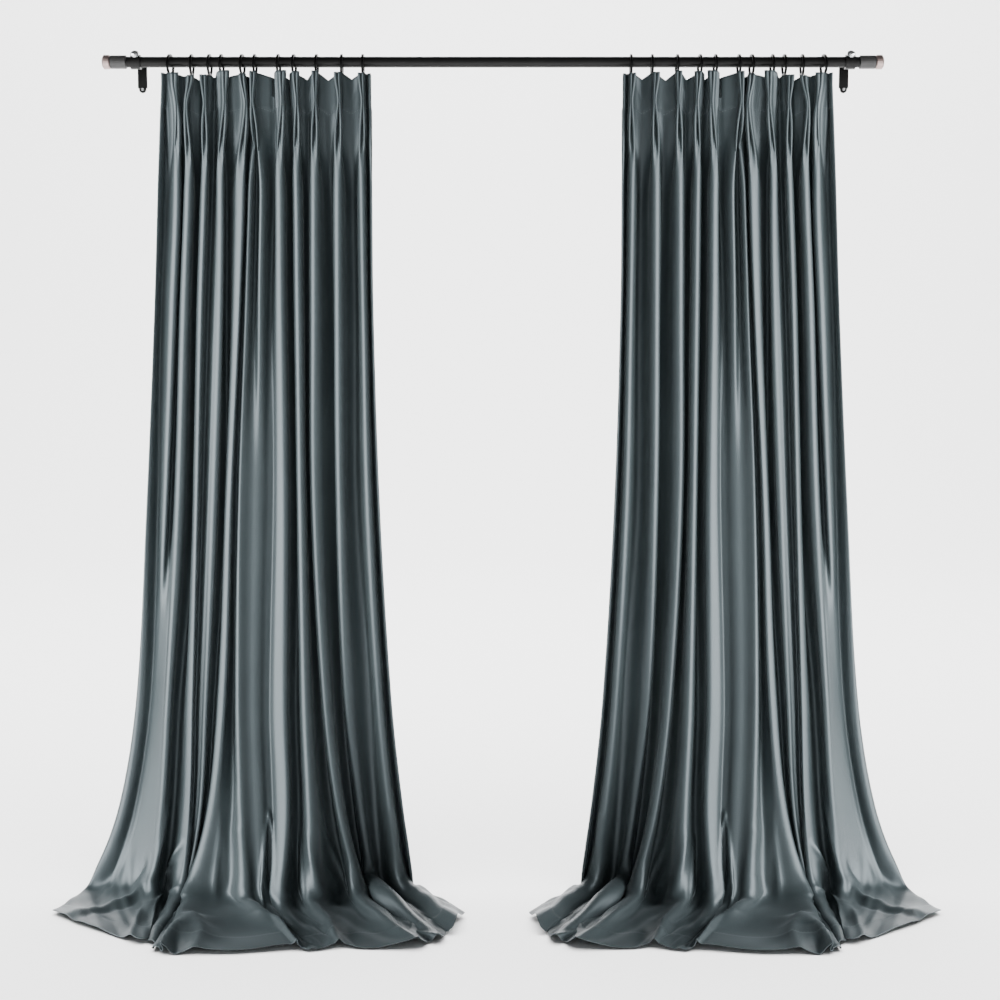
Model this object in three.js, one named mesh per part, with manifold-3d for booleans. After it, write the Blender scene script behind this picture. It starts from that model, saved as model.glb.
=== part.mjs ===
// Pair of full-length velvet drapes on a metal curtain rod.
//
// Two gathered panels with double pinch-pleated headings hang from rings on one round rod.
// The panels are longer than the drop, so their feet turn forward and lie fanned out on the floor.
//
// Frame: X along the rod, +Y towards the wall, Z up, floor at Z = 0. Millimetres.
// While a piece is being built, "forward" is the distance from the rod's axis into the room (-Y).

import * as THREE from 'three';
import Module from 'manifold-3d';
import { mergeVertices } from 'three/addons/utils/BufferGeometryUtils.js';

const wasm = await Module();
wasm.setup();

// ---- Driving sizes ---------------------------------------------------------------------------

const CONTACT_GAP = 0.3; // between pieces that touch

const ROD_DIAMETER = 27;
const ROD_AXIS_HEIGHT = 2122;
const ROD_LENGTH = 1840;
const ROD_MIDDLE_X = -10; // the rod sits a little to the left of the panels' middle

const COLLAR_DIAMETER = 34;
const COLLAR_LENGTH = 41;
const CAP_DIAMETER = 36;
const CAP_LENGTH = 19;

const BRACKET_SPACING = 1794; // from bracket to bracket
const WALL_DISTANCE = 82; // rod axis to the wall
const CUP_DIAMETER = 36;
const CUP_WIDTH = 24;
const ARM_DIAMETER = 14;
const PLATE_WIDTH = 24;
const PLATE_THICKNESS = 5;
const PLATE_TOP = 2142;
const PLATE_BOTTOM = 2056;
const LUG_WIDTH = 18; // the rounded lug below the plate, with the lower screw
const LUG_LENGTH = 12;
const KNOB_DIAMETER = 21;
const KNOB_TILT = 38 * Math.PI / 180; // from upright, towards the room

const RING_OUTER_DIAMETER = 54;
const RING_INNER_DIAMETER = 43;
const RING_WIDTH = 4.5;
const RING_SIDES = 14;
const RING_TURNS = [8, 1, 3, 3, 6, 2, 3, 5, 2, 0, 0]; // degrees, each turned a little on the rod

const HOOK_WIRE = 2;

const CLOTH_THICKNESS = 1.6;
const CUT_LENGTH = 2438; // 96 in from the heading's top edge to the hem
const PLEAT_CLOTH = 80; // flat cloth in one double pleat: four legs of a finger's depth
const GAP_CLOTH = 55; // flat cloth between two pleats
const RETURN_CLOTH = 45; // flat cloth outside the first and the last pleat
const FINGER_DEPTH = PLEAT_CLOTH / 4;
const FINGER_FRONT = 48; // forward distance of the finger tips at the heading
const HALF_PLEAT = (PLEAT_CLOTH + GAP_CLOTH) / 2; // from a pleat's middle to the middle of a gap
const HALF_END = (PLEAT_CLOTH / 2 + RETURN_CLOTH) / 2; // the same beside a side edge

const HEADING_TOP = 2092; // top edge of the pleats
const HEADING_DIP = 15; // the gaps' top edge sags this far below the pleats
const PINCH_DROP = 75; // the stitched pinch, below the top edge
const MERGE_DROP = 350; // both fingers have run into one fold by here
const HANG_MIDDLE = 22; // forward distance of the folds' middle, all the way down to the foot
const LEAN_START = 1400; // below this height the cloth leans forward to its foot
const KNEE_SETBACK = 40; // a trough meets the floor this far behind its ridges

// ---- The left panel's folds ------------------------------------------------------------------
//
// One row for each ridge, from the outer side edge to the inner one. x0 is the place on the rod
// (a ring, or a side edge at the heading), lean the sideways lean of the pleat's fingers; x1 to x5
// are the ridge's places at the five heights below; low is what is left of its depth near the
// floor. Then where it bends onto the floor (kneeX, kneeF forward, kneeZ ridge height, bend how
// softly) and where it ends at the hem.

const TRACK_HEIGHTS = [2060, 1850, 1500, 1000, 500, 220, 0];

const RIDGE_COLUMNS = ['name', 'x0', 'lean', 'x1', 'x2', 'x3', 'x4', 'x5', 'low',
  'kneeX', 'kneeF', 'kneeZ', 'bend', 'hemX', 'hemF', 'hemZ'];
const RIDGE_ROWS = [
  ['outer_edge', -838, 0, -849, -865, -895, -931, -980, 0.6, -1060, 50, 3, 30, -1108, 238, 2],
  ['pleat_01', -821, 8, -811, -818, -846, -876, -912, 0.3, -960, 92, 2, 40, -985, 360, 3],
  ['pleat_02', -767, -5, -772, -790, -813, -845, -862, 1, -890, 128, 12, 20, -838, 455, 5],
  ['pleat_03', -722, -7, -737, -748, -766, -782, -789, 1, -808, 137, 16, 12, -818, 458, 8],
  ['pleat_04', -692, 9, -692, -701, -725, -750, -764, 0.6, -800, 132, 6, 14, -800, 505, 4],
  ['pleat_05', -640, 6, -646, -653, -682, -703, -732, 1, -788, 142, 16, 14, -765, 525, 5],
  ['pleat_06', -608, -2, -602, -614, -634, -640, -624, 1, -603, 205, 24, 6, -476, 492, 9],
  ['pleat_07', -549, 7, -546, -547, -545, -546, -535, 1, -549, 218, 12, 26, -420, 500, 3],
  ['pleat_08', -510, 7, -503, -502, -500, -490, -474, 0.8, -462, 217, 14, 14, -360, 480, 8],
  ['pleat_09', -453, 1, -458, -463, -467, -442, -407, 1, -350, 160, 27, 8, -181, 495, 12],
  ['pleat_10', -390, -6, -398, -402, -403, -392, -364, 1, -334, 82, 48, 6, -131, 455, 14],
  ['pleat_11', -337, -1, -337, -334, -326, -303, -277, 0.8, -245, 74, 8, 14, -105, 392, 4],
  ['inner_edge', -314, 0, -313, -312, -299, -272, -243, 0.5, -210, 65, 3, 8, -79, 261, 2],
];

// One row for each trough, which lies to the right of the ridge of the same number. At each of
// SHARE_HEIGHTS, shares give its place between its two ridges as a share of the way across, and
// depths what is left of its depth. Then where it ends at the hem.
const SHARE_HEIGHTS = [2060, 1500, 1000, 500, 0];
const TROUGH_COLUMNS = ['shares', 'depths', 'hemX', 'hemF'];
const TROUGH_ROWS = [
  [[0.47, 0.3, 0.47, 0.6, 0.5], [1, 0.5, 0.7, 0.6, 1], -1042, 300],
  [[0.6, 0.35, 0.3, 0.5, 0.5], [1, 1, 0.4, 0.1, 0.1], -905, 445],
  [[0.65, 0.7, 0.78, 0.42, 0.4], [1, 1, 1, 1, 1], -829, 425],
  [[0.5, 0.4, 0.36, 0.3, 0.4], [1, 0.1, 0, 0, 0.3], -808, 490],
  [[0.5, 0.28, 0.62, 0.45, 0.45], [1, 1, 1, 0.6, 1], -783, 518],
  [[0.6, 0.25, 0.3, 0.38, 0.6], [1, 0.3, 0.2, 1, 1], -610, 522],
  [[0.45, 0.56, 0.55, 0.45, 0.4], [1, 0.6, 0.8, 0.8, 1], -448, 508],
  [[0.66, 0.68, 0.73, 0.5, 0.45], [1, 1, 1, 1, 1], -392, 490],
  [[0.6, 0.66, 0.74, 0.8, 0.75], [1, 1, 1, 1, 1], -320, 488],
  [[0.5, 0.82, 0.88, 0.85, 0.7], [1, 1, 1, 1, 1], -158, 442],
  [[0.5, 0.57, 0.52, 0.65, 0.4], [1, 0.8, 0.8, 0.8, 1], -121, 375],
  [[0.7, 0.65, 0.65, 0.75, 0.6], [1, 0.8, 0.8, 1, 1], -93, 315],
];

// The sixth pleat never closes: its two fingers run down as two folds, this far apart.
const SPLIT_PLEAT = 6;
const SPLIT_SPREAD = [4, 15, 17, 20, 19, 24, 16]; // half the distance at each of the heights
const SPLIT_CLOTH = 42; // flat cloth from the pleat's middle to a finger's tip, low down

// Two stretches of the panel lose their fold on the way down and hang as one plain face: between
// these flat distances from the outer edge, from one height to the other.
const CALM_COLUMNS = ['first', 'last', 'from', 'to'];
const CALM_ROWS = [
  [50, 205, 1000, 700],
  [720, 850, 1550, 1150],
];

const namedRows = (columns, rows) =>
  rows.map((row) => Object.fromEntries(columns.map((name, i) => [name, row[i]])));
const RIDGES = namedRows(RIDGE_COLUMNS, RIDGE_ROWS);
const TROUGHS = namedRows(TROUGH_COLUMNS, TROUGH_ROWS);
const CALM_STRETCHES = namedRows(CALM_COLUMNS, CALM_ROWS);

// ---- Small mathematics -----------------------------------------------------------------------

const mix = (a, b, share) => a + (b - a) * share;
const smooth = (from, to, value) => {
  const share = Math.min(1, Math.max(0, (value - from) / (to - from)));
  return share * share * (3 - 2 * share);
};
const softplus = (value) => (value > 30 ? value : Math.log1p(Math.exp(value)));

// A smooth curve through values given at some heights, which run downwards.
function track(values, height, knots = TRACK_HEIGHTS) {
  const last = knots.length - 1;
  const z = Math.min(knots[0], Math.max(knots[last], height));
  let i = 0;
  while (i < last - 1 && z < knots[i + 1]) i += 1;
  const slope = (j) => {
    const before = Math.max(0, j - 1);
    const after = Math.min(last, j + 1);
    return (values[after] - values[before]) / (knots[after] - knots[before]);
  };
  const span = knots[i + 1] - knots[i];
  const s = (z - knots[i]) / span;
  const s2 = s * s;
  const s3 = s2 * s;
  return values[i] * (2 * s3 - 3 * s2 + 1) + slope(i) * span * (s3 - 2 * s2 + s)
    + values[i + 1] * (3 * s2 - 2 * s3) + slope(i + 1) * span * (s3 - s2);
}

// A fold's flank is half a wave of the curve whose direction swings as swing * sin(pi * s): the
// shape a bent strip takes. waveAt gives its run and its drop after the share s of its length.
const WAVE_STEPS = 48;
function waveAt(swing, share) {
  const steps = Math.max(1, Math.round(WAVE_STEPS * share));
  const step = share / steps;
  let run = 0;
  let drop = 0;
  for (let i = 0; i < steps; i += 1) {
    const angle = swing * Math.sin(Math.PI * (i + 0.5) * step);
    run += Math.cos(angle) * step;
    drop += Math.sin(angle) * step;
  }
  return [run, drop];
}

// The swing that a given property of the whole half wave needs, by bisection.
function swingFor(property, target) {
  let low = 0;
  let high = 2.8;
  for (let i = 0; i < 24; i += 1) {
    const swing = (low + high) / 2;
    if (property(...waveAt(swing, 1)) < target) low = swing;
    else high = swing;
  }
  return (low + high) / 2;
}

// How deep a flank of a given flat length gets when its ends are squeezed to a given distance.
function flankDepth(cloth, distance) {
  const squeeze = Math.min(0.98, Math.max(0.02, distance / cloth));
  const swing = swingFor((run) => -run, -squeeze);
  return cloth * waveAt(swing, 1)[1];
}

// ---- The drape's surface ---------------------------------------------------------------------
//
// Every ridge and trough is a path down the panel, given by the flat cloth length from the top
// edge. The cloth between two neighbouring paths is a flank of one fold.

const lowShare = (height) => 1 - smooth(300, 1000, height);

function ridgeX(index, height) {
  const r = RIDGES[index];
  return track([r.x0, r.x1, r.x2, r.x3, r.x4, r.x5, r.kneeX], height);
}

function troughX(index, height) {
  const t = TROUGHS[index];
  const share = track(t.shares, height, SHARE_HEIGHTS);
  return mix(ridgeX(index, height), ridgeX(index + 1, height), share);
}

// Flat length of the flank from ridge i to trough i, and from trough i to ridge i + 1.
const flankCloth = (trough) => (trough === 0 || trough === TROUGHS.length - 1 ? HALF_END : HALF_PLEAT);

// Fold depth at a ridge or trough: the mean of what its two flanks take.
function depthAt(flanks, height) {
  const depths = flanks.map(([ridge, trough]) =>
    flankDepth(flankCloth(trough), Math.abs(ridgeX(ridge, height) - troughX(trough, height))));
  return depths.reduce((sum, depth) => sum + depth, 0) / depths.length;
}

// Where a path is after a given length of cloth. It comes down at (x, forward), bends at the
// foot and runs over the floor to its place at the hem.
function pathPoint(path, length) {
  const drop = path.top - path.kneeZ;
  const height = path.bend * softplus((drop - length) / path.bend);
  const run = path.bend * softplus((length - drop) / path.bend);
  const fullRun = path.bend * softplus((CUT_LENGTH - drop) / path.bend);
  const share = run / fullRun;
  const lean = Math.pow(Math.max(0, 1 - height / LEAN_START), 2.5);
  const hang = path.hangForward(height);
  const floorHeight = mix(path.kneeZ, path.hemZ, smooth(0, 1, share));
  return new THREE.Vector3(
    path.x(height) + (path.hemX - path.kneeX) * share,
    -mix(hang, path.kneeF, lean) - (path.hemF - path.kneeF) * share,
    height + floorHeight,
  );
}

function ridgePath(index) {
  const r = RIDGES[index];
  const flanks = [];
  if (index > 0) flanks.push([index, index - 1]);
  if (index < TROUGHS.length) flanks.push([index, index]);
  return {
    ...r,
    top: HEADING_TOP,
    x: (height) => ridgeX(index, height),
    hangForward: (height) => HANG_MIDDLE
      + depthAt(flanks, height) / 2 * mix(1, r.low, lowShare(height)),
  };
}

function troughPath(index) {
  const t = TROUGHS[index];
  const left = RIDGES[index];
  const right = RIDGES[index + 1];
  const flanks = [[index, index], [index + 1, index]];
  const share = t.shares[t.shares.length - 1];
  const depth = t.depths[t.depths.length - 1];
  return {
    top: HEADING_TOP - HEADING_DIP,
    bend: (left.bend + right.bend) / 2,
    x: (height) => troughX(index, height),
    hangForward: (height) => HANG_MIDDLE
      - depthAt(flanks, height) / 2 * track(t.depths, height, SHARE_HEIGHTS),
    kneeX: mix(left.kneeX, right.kneeX, share),
    kneeF: mix(left.kneeF, right.kneeF, share) - KNEE_SETBACK * depth,
    kneeZ: CLOTH_THICKNESS / 2,
    hemX: t.hemX,
    hemF: t.hemF,
    hemZ: CLOTH_THICKNESS / 2,
  };
}

// Points of one flank between a ridge and a trough, at given shares of its flat length. deep is
// the direction in which the trough lies behind the ridge, across the sideways direction, and
// crease sharpens the ridge where it lies on the floor.
function flankPoints(ridge, trough, across, deep, crease, shares) {
  const gap = trough.clone().sub(ridge);
  const depth = Math.max(0, gap.dot(deep));
  const side = gap.clone().addScaledVector(deep, -gap.dot(deep));
  const run = side.dot(across);
  const rest = side.clone().addScaledVector(across, -run);
  const slope = Math.atan2(depth, run);
  const swing = swingFor((waveRun, waveDrop) => Math.atan2(waveDrop, waveRun), slope);
  const [fullRun, fullDrop] = waveAt(swing, 1);
  const scale = Math.hypot(run, depth) / Math.hypot(fullRun, fullDrop);
  return shares.map((share) => {
    const [waveRun, waveDrop] = waveAt(swing, share);
    const fallen = fullDrop > 1e-6 ? 1 - Math.pow(Math.max(0, 1 - waveDrop / fullDrop), crease) : 0;
    return ridge.clone()
      .addScaledVector(across, scale * waveRun)
      .addScaledVector(deep, gap.dot(deep) * fallen)
      .addScaledVector(rest, share);
  });
}

// How far a row has turned from hanging (0) to lying on the floor (1) near a path.
const lyingShare = (path, length) => smooth(-50, 60, length - (path.top - path.kneeZ));

// The sideways direction of the panel near a path, and the direction from front to back.
function directions(path, length) {
  const lying = lyingShare(path, length);
  const runX = path.hemX - path.kneeX;
  const runForward = path.hemF - path.kneeF;
  const plan = new THREE.Vector3(runForward, runX, 0).normalize();
  return {
    lying,
    across: new THREE.Vector3(1, 0, 0).lerp(plan, lying).normalize(),
    deep: new THREE.Vector3(0, 1, 0).lerp(new THREE.Vector3(0, 0, -1), lying).normalize(),
  };
}

// The two finger tips of a pleat stand this far to each side of its middle.
function fingerSpread(length) {
  if (length < PINCH_DROP) return mix(7, 2.5, smooth(0, PINCH_DROP, length));
  return mix(2.5, 12, smooth(PINCH_DROP, PINCH_DROP + 90, length));
}

// Flat cloth from a pleat's middle to a finger's tip. It is longer low down on the split pleat.
const tipClothAt = (index, height) => (index === SPLIT_PLEAT
  ? mix(SPLIT_CLOTH, FINGER_DEPTH, smooth(1000, 2000, height)) : FINGER_DEPTH);

// Flat distance of a stop from its pleat's middle.
const flatAt = (stop, tipCloth, cloth) =>
  (stop < 1 ? stop * tipCloth : tipCloth + (stop - 1) * (cloth - tipCloth));

// One half of a pleat at one row: from its middle over its finger tip to the trough beside it.
// stops are 0 at the middle, 1 at the finger's tip and 2 at the trough.
function halfPleat(index, side, length, ridge, trough, stops) {
  const troughIndex = side < 0 ? index - 1 : index;
  const cloth = flankCloth(troughIndex);
  const split = index === SPLIT_PLEAT;
  const middle = ridge.point;
  const height = middle.z;
  const { deep, lying } = ridge;
  const across = ridge.across.clone().multiplyScalar(side);
  const merged = split ? 0 : smooth(PINCH_DROP, MERGE_DROP, length);
  const tipCloth = tipClothAt(index, height);
  const spread = split && length > PINCH_DROP
    ? track(SPLIT_SPREAD, height) : fingerSpread(length);
  const lean = RIDGES[index].lean * (1 - smooth(0, MERGE_DROP, length));

  const foldPoints = flankPoints(middle, trough.point, across, deep, mix(1, 2, lying),
    stops.map((stop) => flatAt(stop, tipCloth, cloth) / cloth));
  if (merged === 1) return foldPoints;

  // The open form: a finger tip in front, and the pleat's root behind it.
  const tip = middle.clone().addScaledVector(across, spread);
  tip.x += lean;
  const flankRun = Math.abs(tip.x - trough.point.x);
  const flankDeep = flankDepth(cloth - tipCloth, flankRun);
  const rootDeep = flankDepth(tipCloth, spread) * (1 - lying);
  const heading = 1 - smooth(PINCH_DROP, MERGE_DROP, length);
  const root = middle.clone().addScaledVector(deep, rootDeep);
  const back = trough.point.clone();
  tip.y = mix(tip.y, -FINGER_FRONT, heading);
  root.y = mix(root.y, -FINGER_FRONT + rootDeep, heading);
  back.y = mix(back.y, -FINGER_FRONT + flankDeep, heading);
  const fingerShares = stops.filter((stop) => stop < 1).map((stop) => 1 - stop);
  const flankShares = stops.filter((stop) => stop >= 1).map((stop) => stop - 1);
  const openPoints = [
    ...flankPoints(tip, root, across.clone().negate(), deep, 1, fingerShares),
    ...flankPoints(tip, back, across, deep, mix(1, 2, lying), flankShares),
  ];
  return openPoints.map((point, i) => point.lerp(foldPoints[i], merged));
}

// The stretches that lose their fold become ruled faces between the columns beside them.
function calmed(points, flat, length) {
  for (const calm of CALM_STRETCHES) {
    const below = smooth(HEADING_TOP - calm.from, HEADING_TOP - calm.to, length);
    const first = flat.findLastIndex((place) => place < calm.first);
    const last = flat.findIndex((place) => place > calm.last);
    for (let c = first + 1; c < last; c += 1) {
      const share = (flat[c] - flat[first]) / (flat[last] - flat[first]);
      points[c].lerp(points[first].clone().lerp(points[last], share), below);
    }
  }
}

// All the points of the panel's middle surface at one row, from its outer to its inner edge.
const HALF_STOPS = [0, 1, 1.5, 2];
const EDGE_SHARES = [0, 0.5];
function rowPoints(length, ridgePaths, troughPaths) {
  const at = (path) => ({ point: pathPoint(path, length), ...directions(path, length) });
  const ridges = ridgePaths.map(at);
  const troughs = troughPaths.map(at);
  const edgeFlank = (ridge, trough, side) => flankPoints(
    ridge.point, trough.point, ridge.across.clone().multiplyScalar(side),
    ridge.deep, mix(1, 2, ridge.lying), EDGE_SHARES);
  const last = ridges.length - 1;
  const points = [...edgeFlank(ridges[0], troughs[0], 1)];
  const flat = EDGE_SHARES.map((share) => share * HALF_END);
  let middle = 2 * HALF_END; // flat distance of the pleat's middle from the outer edge
  for (let i = 1; i < last; i += 1) {
    const tipCloth = tipClothAt(i, ridges[i].point.z);
    const left = halfPleat(i, -1, length, ridges[i], troughs[i - 1], HALF_STOPS);
    const right = halfPleat(i, 1, length, ridges[i], troughs[i], HALF_STOPS);
    const leftFlat = HALF_STOPS.map((stop) => middle - flatAt(stop, tipCloth, flankCloth(i - 1)));
    const rightFlat = HALF_STOPS.map((stop) => middle + flatAt(stop, tipCloth, flankCloth(i)));
    if (i > 1) { // this trough is already there, from the pleat before
      left.pop();
      leftFlat.pop();
    }
    points.push(...left.reverse(), ...right.slice(1));
    flat.push(...leftFlat.reverse(), ...rightFlat.slice(1));
    middle += 2 * HALF_PLEAT;
  }
  const edge = edgeFlank(ridges[last], troughs[last - 1], -1);
  const end = flat.at(-1) + HALF_END;
  points.push(...edge.reverse());
  flat.push(...EDGE_SHARES.map((share) => end - share * HALF_END).reverse());
  calmed(points, flat, length);
  points.forEach((point) => { point.z = Math.max(point.z, CLOTH_THICKNESS / 2); });
  return points;
}

const ROW_LENGTHS = [0, 38, 75, 115, 190, 350, 650, 950, 1250, 1500, 1700, 1850, 1950, 2015,
  2055, 2095, 2150, 2240, 2340, CUT_LENGTH];

// A closed sheet of even thickness around a grid of points (rows of equal length).
function sheetGeometry(grid, thickness, mirrored) {
  const rows = grid.length;
  const columns = grid[0].length;
  // The mean direction of the two steps that meet at a point, whatever their lengths. Given a
  // direction to be square to, only the steps' parts square to it count.
  const heading = (before, here, after, squareTo) => {
    const direction = new THREE.Vector3();
    for (const [from, to] of [[before, here], [here, after]]) {
      if (!from || !to) continue;
      const step = to.clone().sub(from);
      if (squareTo) step.addScaledVector(squareTo, -step.dot(squareTo));
      direction.add(step.normalize());
    }
    return direction.normalize();
  };
  const front = [];
  const back = [];
  for (let r = 0; r < rows; r += 1) {
    for (let c = 0; c < columns; c += 1) {
      const here = grid[r][c];
      const down = heading(grid[r - 1]?.[c], here, grid[r + 1]?.[c]);
      const across = heading(grid[r][c - 1], here, grid[r][c + 1], down);
      const outward = down.cross(across).multiplyScalar(thickness / 2);
      front.push(here.clone().add(outward));
      back.push(here.clone().sub(outward));
    }
  }
  const points = [...front, ...back];
  const offset = rows * columns;
  const faces = [];
  const quad = (a, b, c, d) => faces.push(a, b, c, a, c, d);
  const f = (r, c) => r * columns + c;
  const b = (r, c) => offset + f(r, c);
  for (let r = 0; r < rows - 1; r += 1) {
    for (let c = 0; c < columns - 1; c += 1) {
      quad(f(r, c), f(r + 1, c), f(r + 1, c + 1), f(r, c + 1));
      quad(b(r, c), b(r, c + 1), b(r + 1, c + 1), b(r + 1, c));
    }
    quad(f(r, 0), b(r, 0), b(r + 1, 0), f(r + 1, 0));
    quad(f(r, columns - 1), f(r + 1, columns - 1), b(r + 1, columns - 1), b(r, columns - 1));
  }
  for (let c = 0; c < columns - 1; c += 1) {
    quad(f(0, c), f(0, c + 1), b(0, c + 1), b(0, c));
    quad(f(rows - 1, c), b(rows - 1, c), b(rows - 1, c + 1), f(rows - 1, c + 1));
  }
  const geometry = new THREE.BufferGeometry();
  const flip = mirrored ? -1 : 1;
  const positions = points.flatMap((point) => [flip * point.x, point.y, point.z]);
  if (mirrored) {
    for (let i = 0; i < faces.length; i += 3) [faces[i], faces[i + 1]] = [faces[i + 1], faces[i]];
  }
  geometry.setAttribute('position', new THREE.Float32BufferAttribute(positions, 3));
  geometry.setIndex(faces);
  geometry.computeVertexNormals();
  return geometry;
}

function drapeGrid() {
  const ridgePaths = RIDGES.map((_, i) => ridgePath(i));
  const troughPaths = TROUGHS.map((_, i) => troughPath(i));
  return ROW_LENGTHS.map((length) => rowPoints(length, ridgePaths, troughPaths));
}

// ---- Hardware --------------------------------------------------------------------------------

const ALONG_X = -Math.PI / 2;

// A solid turned around the X axis from [distance along X, radius] pairs.
function turned(profile, segments) {
  const points = profile.map(([along, radius]) => new THREE.Vector2(radius, along));
  return new THREE.LatheGeometry(points, segments).rotateZ(ALONG_X);
}

function rod() {
  const geometry = new THREE.CylinderGeometry(ROD_DIAMETER / 2, ROD_DIAMETER / 2, ROD_LENGTH, 28);
  return geometry.rotateZ(ALONG_X);
}

function collar() {
  const radius = COLLAR_DIAMETER / 2;
  const edge = 2;
  return turned([
    [0, 0], [0, radius - edge], [edge, radius],
    [COLLAR_LENGTH - edge, radius], [COLLAR_LENGTH, radius - edge], [COLLAR_LENGTH, 0],
  ], 20);
}

function endCap() {
  const radius = CAP_DIAMETER / 2;
  const edge = 2;
  return turned([
    [0, 0], [0, radius - edge], [edge, radius],
    [CAP_LENGTH - 2 * edge, radius], [CAP_LENGTH, radius - 2.5 * edge], [CAP_LENGTH, 0],
  ], 20);
}

function ring() {
  const inner = RING_INNER_DIAMETER / 2;
  const outer = RING_OUTER_DIAMETER / 2;
  const half = RING_WIDTH / 2;
  return turned([[-half, inner], [-half, outer], [half, outer], [half, inner], [-half, inner]],
    RING_SIDES);
}

// A closed geometry as a manifold solid, and back.
function solid(geometry) {
  const bare = geometry.index ? geometry.toNonIndexed() : geometry.clone();
  bare.deleteAttribute('normal');
  bare.deleteAttribute('uv');
  const merged = mergeVertices(bare, 1e-3);
  return new wasm.Manifold(new wasm.Mesh({
    numProp: 3,
    vertProperties: new Float32Array(merged.attributes.position.array),
    triVerts: new Uint32Array(merged.index.array),
  }));
}

function geometryOf(body) {
  const mesh = body.getMesh();
  const geometry = new THREE.BufferGeometry();
  geometry.setAttribute('position', new THREE.Float32BufferAttribute(mesh.vertProperties, 3));
  geometry.setIndex([...mesh.triVerts]);
  geometry.computeVertexNormals();
  return geometry;
}

// Wall plate, arm and cup in one casting. Its origin is on the rod's axis.
function bracket() {
  const half = PLATE_WIDTH / 2;
  const lug = LUG_WIDTH / 2;
  const top = PLATE_TOP - ROD_AXIS_HEIGHT;
  const bottom = PLATE_BOTTOM - ROD_AXIS_HEIGHT;
  const shoulder = bottom + LUG_LENGTH;
  const outline = new THREE.Shape();
  outline.moveTo(-half, top - half);
  outline.absarc(0, top - half, half, Math.PI, 0, true);
  outline.lineTo(half, shoulder);
  outline.lineTo(lug, shoulder);
  outline.absarc(0, bottom + lug, lug, 0, -Math.PI, true);
  outline.lineTo(-lug, shoulder);
  outline.lineTo(-half, shoulder);
  outline.closePath();
  const plate = new THREE.ExtrudeGeometry(
    outline, { depth: PLATE_THICKNESS, bevelEnabled: false, curveSegments: 5 });
  plate.rotateX(Math.PI / 2).translate(0, WALL_DISTANCE, 0);

  const cupRadius = CUP_DIAMETER / 2;
  const boreRadius = ROD_DIAMETER / 2 + CONTACT_GAP;
  const armLength = WALL_DISTANCE - PLATE_THICKNESS / 2 - (boreRadius + cupRadius) / 2;
  const arm = new THREE.CylinderGeometry(ARM_DIAMETER / 2, ARM_DIAMETER / 2, armLength, 14);
  arm.translate(0, WALL_DISTANCE - PLATE_THICKNESS / 2 - armLength / 2, 0);

  const end = CUP_WIDTH / 2;
  const cup = turned([
    [-end, boreRadius], [-end, cupRadius], [end, cupRadius], [end, boreRadius],
    [-end, boreRadius],
  ], 28);
  return geometryOf(solid(plate).add(solid(arm)).add(solid(cup)));
}

// The domed thumb screw that clamps the rod. Its origin is on the rod's axis.
function knob() {
  const foot = CUP_DIAMETER / 2 + CONTACT_GAP;
  const radius = KNOB_DIAMETER / 2;
  const neck = 4;
  const neckHeight = 1.5;
  const skirt = 5;
  const dome = 6;
  const points = [[0, 0], [neck, 0], [neck, neckHeight], [radius, neckHeight],
    [radius, neckHeight + skirt]];
  const steps = 3;
  for (let i = 1; i <= steps; i += 1) {
    const angle = Math.PI / 2 * i / steps;
    const out = i === steps ? 0 : radius * Math.cos(angle);
    points.push([out, neckHeight + skirt + dome * Math.sin(angle)]);
  }
  const profile = points.map(([out, up]) => new THREE.Vector2(out, foot + up));
  return new THREE.LatheGeometry(profile, 16).rotateX(Math.PI / 2 + KNOB_TILT);
}

// A round wire through the given points, as a tube with flat ends.
function wire(points, radius, sides) {
  const last = points.length - 1;
  const positions = [];
  let outward = new THREE.Vector3(0, 1, 0);
  points.forEach((point, i) => {
    const along = points[Math.min(last, i + 1)].clone().sub(points[Math.max(0, i - 1)]).normalize();
    outward = outward.clone().addScaledVector(along, -outward.dot(along)).normalize();
    const beside = along.clone().cross(outward);
    for (let k = 0; k < sides; k += 1) {
      const angle = 2 * Math.PI * k / sides;
      positions.push(point.clone()
        .addScaledVector(outward, radius * Math.cos(angle))
        .addScaledVector(beside, radius * Math.sin(angle)));
    }
  });
  const faces = [];
  for (let i = 0; i < last; i += 1) {
    for (let k = 0; k < sides; k += 1) {
      const here = i * sides + k;
      const next = i * sides + (k + 1) % sides;
      faces.push(here, next, next + sides, here, next + sides, here + sides);
    }
  }
  for (let k = 1; k < sides - 1; k += 1) {
    faces.push(0, k + 1, k);
    faces.push(last * sides, last * sides + k, last * sides + k + 1);
  }
  const geometry = new THREE.BufferGeometry();
  const flat = positions.flatMap((point) => point.toArray());
  geometry.setAttribute('position', new THREE.Float32BufferAttribute(flat, 3));
  geometry.setIndex(faces);
  geometry.computeVertexNormals();
  return geometry;
}

// A bent wire pin behind each pleat. Its crook hangs over the ring and its foot lies against the
// heading. Its origin is on the rod's axis, at the ring's place.
function hook(ringBottomInner) {
  const radius = HOOK_WIRE / 2;
  const side = RING_WIDTH / 2 + 3 * radius;
  const shoulder = side - 1.5;
  const crook = ringBottomInner + 2 * CONTACT_GAP + radius;
  const points = [
    [-side, 1, crook - 8],
    [-side, 1, crook - 2],
    [-shoulder, 0.5, crook],
    [shoulder, -0.5, crook],
    [side, -1, crook - 2],
    [side, -6, crook - 14],
    [side / 2, -18, crook - 24],
    [0, -25.5, crook - 32],
    [0, -25.7, crook - 46],
  ].map((point) => new THREE.Vector3(...point));
  return wire(points, radius, 4);
}

// ---- Materials -------------------------------------------------------------------------------

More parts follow.
